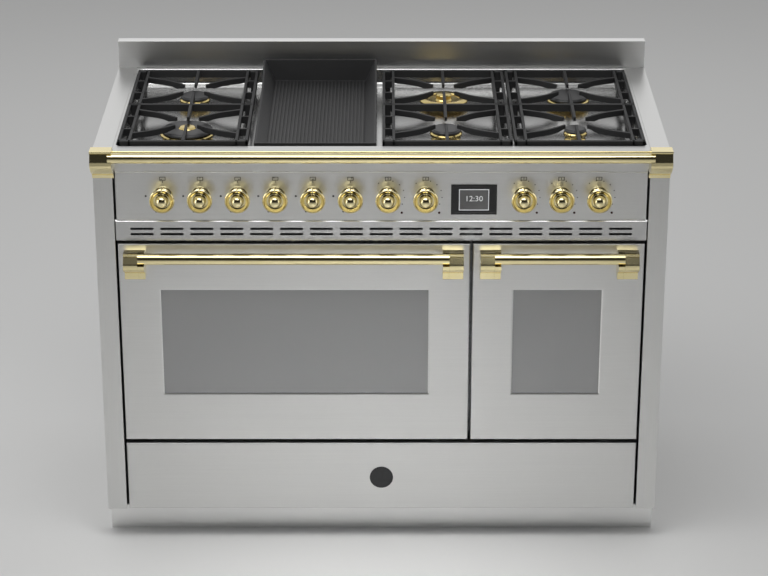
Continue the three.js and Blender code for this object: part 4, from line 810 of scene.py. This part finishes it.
left, low = clock_low.x + SCREEN_INSET.x, clock_low.z + SCREEN_INSET.z
right, high = clock_high.x - SCREEN_INSET.x, clock_high.z - SCREEN_INSET.z
face_y = clock_low.y
screen = start_block((left, face_y + SCREEN_SINK, low), (right, face_y + SCREEN_BACK, high))
set_piece(ease(screen, 0.0003), "clock_screen", screen_grey)
lines = [(left, low, right, low + LINE_WIDE), (left, high - LINE_WIDE, right, high),
         (left, low + LINE_WIDE, left + LINE_WIDE, high - LINE_WIDE),
         (right - LINE_WIDE, low + LINE_WIDE, right, high - LINE_WIDE)]
screen_lines = [start_block((x0, face_y, z0), (x1, face_y + LINE_DEEP, z1))
                for x0, z0, x1, z1 in lines]
bpy.ops.object.text_add(rotation=(math.pi / 2, 0, 0))
digits = bpy.context.object
digits.data.body = "12:30"
digits.data.size = DIGIT_SIZE
digits.data.align_x = digits.data.align_y = "CENTER"
digits.data.extrude = DIGIT_DEEP
digits.data.resolution_u = 3
bpy.ops.object.convert(target="MESH")
digits = bpy.context.object
digits.location = Vector(((left + right) / 2, face_y, (low + high) / 2)) + DIGIT_PLACE
settle()
set_piece(joined([digits, *screen_lines]), "clock_digits", digit_white)


# ---------------------------------------------------------------- badge
# A plain disc of black enamel, slightly domed and with a slim bevelled rim, is stuck to the middle
# of the drawer front.
BADGE_RADIUS = 0.0255
BADGE_DROP = 0.003
BADGE_PROFILE = [
    (0, 0), (BADGE_RADIUS, 0), (BADGE_RADIUS, 0.0012), (BADGE_RADIUS - 0.001, 0.002),
    *smooth_line([(BADGE_RADIUS - 0.002, 0.0021), (0.012, 0.0030), (0, 0.0033)], 3),
]
black_enamel = toned(
    "black_enamel", 0.3, 0.0, (160,), (0.012, 0.012, 0.013), (0.025, 0.025, 0.027))
drawer_low, drawer_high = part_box("drawer_front")
badge_z = (drawer_low.z + drawer_high.z) / 2 - BADGE_DROP
badge = turned(BADGE_PROFILE, (0, FRONT, badge_z), (0, -1, 0), 48)
set_piece(badge, "drawer_badge", black_enamel, body="drawer")


# ---------------------------------------------------------------- hob deck
# The deck is one pressing: a narrow brushed rim, a deep polished well with rounded corners, and the
# apron folded down in front with a lip along its foot.
WELL_SIDE, WELL_FRONT, WELL_REAR = 0.0057, 0.036, 0.0107
WELL_DEEP, WELL_TAPER = 0.035, 0.006
WELL_CORNER, WELL_FLOOR_CORNER, WELL_BRIM = 0.012, 0.008, 0.002
APRON_LIP = 0.02
APRON_FOLD = 0.0022
APRON_BELOW_WELL = 0.005
DECK_SHEET = 0.0012
NEAR = 0.001

deck_low, deck_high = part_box("hob_deck")
deck_size = deck_high - deck_low
panel_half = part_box("control_panel")[1].x
well_low = deck_low.xy + Vector((WELL_SIDE, WELL_FRONT))
well_high = deck_high.xy - Vector((WELL_SIDE, WELL_REAR))
well_size = well_high - well_low

bpy.ops.mesh.primitive_plane_add(
    size=1, location=(*(deck_low.xy + deck_high.xy) / 2, deck_top))
deck = bpy.context.object
deck.scale = (deck_size.x, deck_size.y, 1)
settle()


def in_well(place, margin=0.0):
    """Whether a place lies within the well's brim, or within a margin of it."""
    return (well_low.x - margin < place.x < well_high.x + margin
            and well_low.y - margin < place.y < well_high.y + margin)


def at_front(a, b):
    return max(a.y, b.y) < deck_low.y + ON_PLANE


score(deck, x=(well_low.x, well_high.x), y=(well_low.y, well_high.y))
with chosen(deck, "FACE", lambda face: in_well(face.center)):
    extrude(0, 0, -WELL_DEEP)
    bpy.ops.transform.resize(
        value=(1 - 2 * WELL_TAPER / well_size.x, 1 - 2 * WELL_TAPER / well_size.y, 1))
round_edges(deck, lambda a, b: abs(a.z - b.z) > WELL_DEEP / 2, WELL_CORNER)
round_edges(deck, lambda a, b: max(a.z, b.z) < deck_top - WELL_DEEP + NEAR, WELL_FLOOR_CORNER)
round_edges(deck, lambda a, b: min(a.z, b.z) > deck_top - NEAR
            and in_well(a, NEAR) and in_well(b, NEAR), WELL_BRIM)
with chosen(deck, "EDGE", at_front):
    extrude(0, 0, deck_low.z - deck_top)
    extrude(0, APRON_LIP, 0)
below_well = deck_top - WELL_DEEP - APRON_BELOW_WELL
with chosen(deck, "VERT", lambda place: place.z < below_well and abs(place.x) > panel_half):
    bpy.ops.transform.resize(value=(panel_half / deck_high.x, 1, 1), center_override=(0, 0, 0))
round_edges(deck, lambda a, b: at_front(a, b) and abs(a.z - b.z) < ON_PLANE, APRON_FOLD)
thicken(deck, DECK_SHEET)
set_piece(deck, "hob_pressing", steel_across, "hob_deck")
deck.data.materials.append(steel_polished)
for face in deck.data.polygons:
    if face.center.z < deck_top - NEAR / 2 and in_well(face.center, 1.5 * NEAR):
        face.material_index = 1


# ---------------------------------------------------------------- burners
# Turned brass crowns with a ring of flame ports stand on the floor of the well, under loose caps of
# black enamelled steel.
SEAT_DEPTH, CROWN_SHARE, CROWN_HEIGHT, BOSS_SHARE = 0.0347, 0.94, 0.019, 0.3
PORT_FOOT, PORT_TOP, PORT_SINK_SHARE = 0.012, 0.0155, 0.86
PORT_PITCH, PORT_STEPS, FEWEST_PORTS = 0.0021, 3, 14
CAP_SHARE, CAP_HOLE_SHARE = 0.88, 0.34

enamel_cap = toned("burner_cap_enamel", 0.42, 0.0, (350,), (0.022, 0.022, 0.023),
                   (0.045, 0.045, 0.046), bump=(0.1, 0.0004))

for crown_node in sorted(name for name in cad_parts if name.endswith("_crown")):
    burner = crown_node[: -len("_crown")]
    low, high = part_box(crown_node)
    seat = deck_high.z - SEAT_DEPTH
    x, y = (low.x + high.x) / 2, (low.y + high.y) / 2
    r = (high.x - low.x) / 2 / CROWN_SHARE
    steps = max(FEWEST_PORTS, round(r / PORT_PITCH)) * PORT_STEPS
    has_boss = high.z > seat + CROWN_HEIGHT + 0.002
    top = CROWN_HEIGHT
    rim = r * CROWN_SHARE
    profile = [(0, -0.008), (r * 0.5, -0.008), (r * 0.5, 0), (r * 0.86, 0), (r * 0.86, 0.0016),
               *smooth_line([(r * 0.8, 0.003), (r * 0.72, 0.006), (r * 0.76, 0.009),
                             (r * 0.9, 0.0108)], 3),
               (rim, 0.0112), (rim, PORT_FOOT), (rim, PORT_TOP), (r * 0.925, PORT_TOP + 0.0008),
               (r * 0.82, top), (r * 0.64, top), (r * 0.62, top - 0.003)]
    if has_boss:
        boss = r * BOSS_SHARE
        top = high.z - seat
        profile += [(boss * 1.15, CROWN_HEIGHT - 0.0035), (boss, CROWN_HEIGHT - 0.001),
                    (boss, top - 0.003), (boss * 0.93, top - 0.0012), (boss * 0.8, top - 0.0002),
                    (boss * 0.4, top), (0, top)]
    else:
        profile += [(r * 0.3, top - 0.004), (0, top - 0.004)]
    crown = turned(profile, (x, y, seat), (0, 0, 1), steps)

    def is_port(face):
        around = math.atan2(face.center.y - y, face.center.x - x) / math.tau * steps
        reach = math.hypot(face.center.x - x, face.center.y - y)
        return (reach > r * 0.9 and PORT_FOOT < face.center.z - seat < PORT_TOP
                and math.floor(around) % PORT_STEPS == 0)
    with chosen(crown, "FACE", is_port):
        bpy.ops.mesh.extrude_region()
        bpy.ops.transform.resize(
            value=(PORT_SINK_SHARE, PORT_SINK_SHARE, 1), center_override=(x, y, seat))
    bpy.ops.object.shade_smooth_by_angle(angle=math.radians(32))
    set_piece(crown, f"{burner}_ring", burner_brass, crown_node)

    cap_node = f"{burner}_cap"
    if cap_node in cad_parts:
        cap_low, cap_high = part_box(cap_node)
        tall = cap_high.z - cap_low.z
        cap_r = (cap_high.x - cap_low.x) / 2 * CAP_SHARE
        hole = cap_r * CAP_HOLE_SHARE if has_boss else 0
        profile = [(hole, 0), (cap_r - 0.0008, 0), (cap_r, 0.0008), (cap_r, 0.0022),
                   *smooth_line([(cap_r - 0.0006, 0.0034), (cap_r - 0.003, tall - 0.0014),
                                 (cap_r * 0.86, tall - 0.0004),
                                 (max(hole + 0.003, cap_r * 0.55), tall)], 3)]
        if hole:
            profile += [(hole + 0.001, tall - 0.0002), (hole, tall - 0.001), (hole, 0)]
        else:
            profile.append((0, tall))
        cap = turned(profile, (x, y, cap_low.z), (0, 0, 1), 64)
        set_piece(cap, f"{burner}_lid", enamel_cap, cap_node)


# ---------------------------------------------------------------- pan supports
# Cast iron under a matt black enamel: three double supports with ladder sides and curved fingers,
# which stand on short feet in the well.
SUPPORT_BAR = Vector((0.009, 0, 0.016))
LADDER_WIDTH, LADDER_RAIL, LADDER_CELLS, LADDER_OVERLAP = 0.027, 0.006, 6, 0.001
FOOT_SIZE, FOOT_INSET = 0.012, 0.006
FINGER_WIDTH, FINGER_HEIGHT, FINGER_TAPER = 0.0075, 0.013, 0.3
FINGER_ROOT, FINGER_TIP, TIP_LENGTH, TIP_LIFT = 0.078, 0.024, 0.012, 0.004
BURNER_FROM_END = 0.133
CASTING_EASE = 0.0011

cast_iron = toned(
    "cast_iron", 0.45, 0.0, (420, 4.0, 0.65), (0.016, 0.016, 0.0165), (0.032, 0.032, 0.033),
    patches=(0.5, 9), spread=0.2, bump=(0.15, 0.0004), Specular_IOR_Level=0.3)

support_low, support_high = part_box("middle_pan_support")
support_size = support_high - support_low
half_x, half_y, top = support_size.x / 2, support_size.y / 2, support_high.z
support_bars = []


def support_bar(x0, x1, y0, y1, z0=top - SUPPORT_BAR.z):
    """A straight bar of the casting, from a height up to the top."""
    support_bars.append(start_block((min(x0, x1), y0, z0), (max(x0, x1), y1, top)))


def support_finger(root, knee, tip):
    """A finger whose plan follows a smooth line from its root past a knee to its narrower tip."""
    line = [Vector((x, y, 0)) for x, y in smooth_line([root, knee, tip], 4)]
    last = len(line) - 1
    left_edge, right_edge = [], []
    for i, point in enumerate(line):
        along = (line[min(i + 1, last)] - line[max(i - 1, 0)]).normalized()
        aside = Vector((-along.y, along.x, 0)) * FINGER_WIDTH / 2 * (1 - FINGER_TAPER * i / last)
        left_edge.append(point + aside)
        right_edge.insert(0, point - aside)
    corners = [(p.x, p.y, top - FINGER_HEIGHT) for p in [*left_edge, *right_edge]]
    finger = drawn_out(corners, (0, 0, FINGER_HEIGHT))

    with chosen(finger, "VERT", lambda place: place.z < top - FINGER_HEIGHT / 2
                and (place.xy - line[-1].xy).length < TIP_LENGTH):
        bpy.ops.transform.translate(value=(0, 0, TIP_LIFT))
    support_bars.append(finger)


for y in (-half_y, -SUPPORT_BAR.x / 2, half_y - SUPPORT_BAR.x):
    support_bar(-half_x, half_x, y, y + SUPPORT_BAR.x)
for side in (-1, 1):
    for start in (half_x - LADDER_RAIL, half_x - LADDER_WIDTH):
        support_bar(side * start, side * (start + LADDER_RAIL), -half_y, half_y)
    for cell in range(1, LADDER_CELLS):
        y = -half_y + cell / LADDER_CELLS * support_size.y - LADDER_RAIL / 2
        support_bar(side * (half_x - LADDER_OVERLAP),
                    side * (half_x - LADDER_WIDTH + LADDER_OVERLAP), y, y + LADDER_RAIL)
    for y in (-half_y + FOOT_INSET, -FOOT_SIZE / 2, half_y - FOOT_INSET - FOOT_SIZE):
        support_bar(side * (half_x - FOOT_INSET), side * (half_x - FOOT_INSET - FOOT_SIZE),
                    y, y + FOOT_SIZE, support_low.z)
    inner = half_x - LADDER_WIDTH + LADDER_RAIL / 2
    for row in (-1, 1):
        burner_y = row * (half_y - BURNER_FROM_END)
        for end in (-1, 1):
            support_finger((side * inner, burner_y + end * FINGER_ROOT),
                           (side * inner * 0.57, burner_y + end * FINGER_ROOT * 0.72),
                           (side * FINGER_TIP, burner_y + end * FINGER_TIP))
for row in (-1, 1):
    burner_y = row * (half_y - BURNER_FROM_END)
    support_finger((0, row * (half_y - 0.002)), (0, row * (half_y - 0.06)),
                   (0, burner_y + row * FINGER_TIP))
    support_finger((0, 0), (0, row * 0.05), (0, burner_y - row * FINGER_TIP))
support_pattern = ease(joined(support_bars), CASTING_EASE)
for side in ("left", "middle", "right"):
    node, name = f"{side}_pan_support", f"{side}_pan_grid"
    low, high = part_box(node)
    centre = (low + high) / 2
    grid = placed_copy(support_pattern, name, Vector((centre.x, centre.y, 0)))
    set_piece(grid, name, cast_iron, node)
bpy.data.objects.remove(support_pattern)


# ---------------------------------------------------------------- griddle
# A cast tray that drops into the well between two supports: its rims rise to the back, its inner
# walls slope in, and fine ribs run over its floor from front to back.
GRIDDLE_FLOOR, GRIDDLE_FOOT, GRIDDLE_WALL = 0.014, 0.020, 0.004
GRIDDLE_SLOPE, GRIDDLE_BACK_SLOPE = 0.022, 0.012
GRIDDLE_FRONT_RIM, GRIDDLE_SIDE_RIM, GRIDDLE_BACK_RIM = 0.003, 0.007, 0.032
GRIDDLE_RISE_FROM_BACK = (0.120, 0.02)
RIBS, RIB_HALF, RIB_RISE, RIB_ENDS = 26, 0.0022, 0.003, (0.032, 0.026)
FOOT_HALF = 0.006
FOOT_FROM_EDGE = Vector((0.012, 0.024))

griddle_iron = toned(
    "griddle_iron", 0.4, 0.0, (380, 4.0, 0.65), (0.014, 0.014, 0.0145), (0.03, 0.03, 0.031),
    patches=(0.6, (14, 6, 14), 3.0), spread=0.2, bump=(0.12, 0.0004), Specular_IOR_Level=0.35)

griddle_low, griddle_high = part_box("griddle_plate")
tray_size = griddle_high - griddle_low
foot_top = deck_top - GRIDDLE_FOOT
floor_top = deck_top - GRIDDLE_FLOOR
tray = start_block((griddle_low.x, griddle_low.y, foot_top),
                   (griddle_high.x, griddle_high.y, deck_top + GRIDDLE_SIDE_RIM))
with chosen(tray, "FACE", lambda face: face.normal.z > FACING):
    bpy.ops.mesh.inset(thickness=GRIDDLE_WALL)
    extrude(0, (GRIDDLE_SLOPE - GRIDDLE_BACK_SLOPE) / 2, -GRIDDLE_SIDE_RIM - GRIDDLE_FLOOR)
    bpy.ops.transform.resize(value=(
        1 - 2 * GRIDDLE_SLOPE / (tray_size.x - 2 * GRIDDLE_WALL),
        1 - (GRIDDLE_SLOPE + GRIDDLE_BACK_SLOPE) / (tray_size.y - 2 * GRIDDLE_WALL), 1))
score(tray, y=[griddle_high.y - from_back for from_back in GRIDDLE_RISE_FROM_BACK])
on_rim = deck_top + 0.005
for test, rim in ((lambda place: place.y > griddle_high.y - 0.03, GRIDDLE_BACK_RIM),
                  (lambda place: place.y < griddle_low.y + 0.01, GRIDDLE_FRONT_RIM)):
    with chosen(tray, "VERT", lambda place: place.z > on_rim and test(place)):
        bpy.ops.transform.translate(value=(0, 0, rim - GRIDDLE_SIDE_RIM))
ease(tray, 0.0012)
griddle_parts = [tray]
rib_pitch = (tray_size.x - 2 * GRIDDLE_WALL - 2 * GRIDDLE_SLOPE) / RIBS
griddle_middle = (griddle_low.x + griddle_high.x) / 2
for rib in range(RIBS):
    x = griddle_middle + (rib + 0.5 - RIBS / 2) * rib_pitch
    ridge = start_block((x - RIB_HALF, griddle_low.y + RIB_ENDS[0], floor_top - 0.001),
                        (x + RIB_HALF, griddle_high.y - RIB_ENDS[1], floor_top + RIB_RISE))
    griddle_parts.append(ease(ridge, 0.0009))
for x in (griddle_low.x + FOOT_FROM_EDGE.x, griddle_high.x - FOOT_FROM_EDGE.x):
    for y in (griddle_low.y + FOOT_FROM_EDGE.y, griddle_high.y - FOOT_FROM_EDGE.y):
        griddle_parts.append(start_block((x - FOOT_HALF, y - FOOT_HALF, griddle_low.z),
                                         (x + FOOT_HALF, y + FOOT_HALF, foot_top + 0.001)))
set_piece(joined(griddle_parts), "griddle_tray", griddle_iron, "griddle_plate")


# ---------------------------------------------------------------- ovens
# Two enamelled cavities behind the doors, with wire racks on their ledges, a fan and its cover in
# the left one, and a soft seal round each mouth. A lamp under each roof lights the racks.
LAMP_POWER, LAMP_SHARE, LAMP_DEEP, LAMP_DROP = 2.6, 0.8, 0.25, 0.03
RACK_WIRES, FEWEST_WIRES, WIDE_RACK = 22, 6, 0.614
WIRE_RADIUS, WIRE_INSET, ROD_SHARE = 0.0013, 0.001, 0.9

oven_enamel, oven_shader, oven_place = new_finish("oven_enamel", 0.28)
specks = noise(oven_place, 950, 1.0)
sparse = specks.node("ShaderNodeMapRange", {}, {0: specks, 1: 0.66, 2: 0.7, 3: 0, 4: 1})
mixed(sparse, (0.02, 0.021, 0.023), (0.3, 0.3, 0.31)).into(oven_shader.inputs["Base Color"])
seal_rubber, seal_shader, seal_place = new_finish("seal_braid", 0.8)
braid = seal_place.node(
    "ShaderNodeTexWave", {}, {"Vector": seal_place, "Scale": 260.0, "Distortion": 3.0})
mixed(braid, (0.02, 0.02, 0.02), (0.07, 0.07, 0.068)).into(seal_shader.inputs["Base Color"])
galvanised, zinc_shader, zinc_place = new_finish("galvanised_steel", 0.45, 1.0)
spangle = zinc_place.node(
    "ShaderNodeTexVoronoi", {}, {"Vector": zinc_place, "Scale": 90.0}, "Color")
spangle_shade = spangle.node("ShaderNodeSeparateColor", {}, {0: spangle})
mixed(spangle_shade, (0.34, 0.35, 0.36), (0.52, 0.53, 0.54)).into(zinc_shader.inputs["Base Color"])
(0.35 + 0.2 * spangle_shade).into(zinc_shader.inputs["Roughness"])
chrome = toned("chromed_wire", 0.14, 1.0, (60,), (0.6, 0.6, 0.61), (0.78, 0.78, 0.79))
fan_steel = toned("fan_steel", 0.4, 1.0, (30, 3.0), (0.28, 0.28, 0.29), (0.42, 0.42, 0.42))

for side in ("left", "right"):
    low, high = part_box(f"{side}_oven_cavity")
    width = (high.x - low.x) * LAMP_SHARE
    area_lamp(f"{side}_oven_lamp", ((low.x + high.x) / 2, 0, high.z - LAMP_DROP), width, LAMP_DEEP,
              LAMP_POWER * width * LAMP_DEEP)
    set_eased_copy(f"{side}_oven_cavity", f"{side}_oven_liner", oven_enamel)
    set_eased_copy(f"{side}_oven_seal", f"{side}_oven_gasket", seal_rubber, 0.002, 3)
set_eased_copy("left_oven_fan_cover", "left_oven_fan_dish", oven_enamel, 0.0005)
set_eased_copy("left_oven_fan", "left_oven_fan_wheel", fan_steel, 0.0003,
               body="oven_fan")

for node in ("left_oven_rack_lower", "left_oven_rack_upper", "right_oven_rack"):
    low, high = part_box(node)
    rod = (high.z - low.z) / 2
    wires = []

    def straight(x0, y0, x1, y1, z, radius):
        """A straight round wire of the rack."""
        wires.append(round_rod((x0, y0, z), (x1, y1, z), radius, 10))
        bpy.ops.object.shade_smooth_by_angle(angle=math.radians(50))
    middle_z = (low.z + high.z) / 2
    for x in (low.x + rod, high.x - rod):
        straight(x, low.y, x, high.y, middle_z, rod * ROD_SHARE)
    for y in (low.y + rod, high.y - rod):
        straight(low.x, y, high.x, y, middle_z, rod * ROD_SHARE)
    count = max(FEWEST_WIRES, round(RACK_WIRES * (high.x - low.x) / WIDE_RACK))
    for i in range(count):
        x = low.x + (i + 1) * (high.x - low.x) / (count + 1)
        straight(x, low.y + WIRE_INSET, x, high.y - WIRE_INSET, high.z - WIRE_RADIUS, WIRE_RADIUS)
    set_piece(joined(wires), node + "_wires", chrome, node)


# ---------------------------------------------------------------- inner sheet metal
# The chassis, the back panel and the drawer's box are folded from plain galvanised sheet. They
# carry the fronts and stay behind them.
for node, body in (("chassis", "root"), ("back_panel", "root"), ("drawer_box", "drawer")):
    set_piece(smooth_shading(merged_copy(node), 30), node + "_sheet", galvanised,
              node, body)
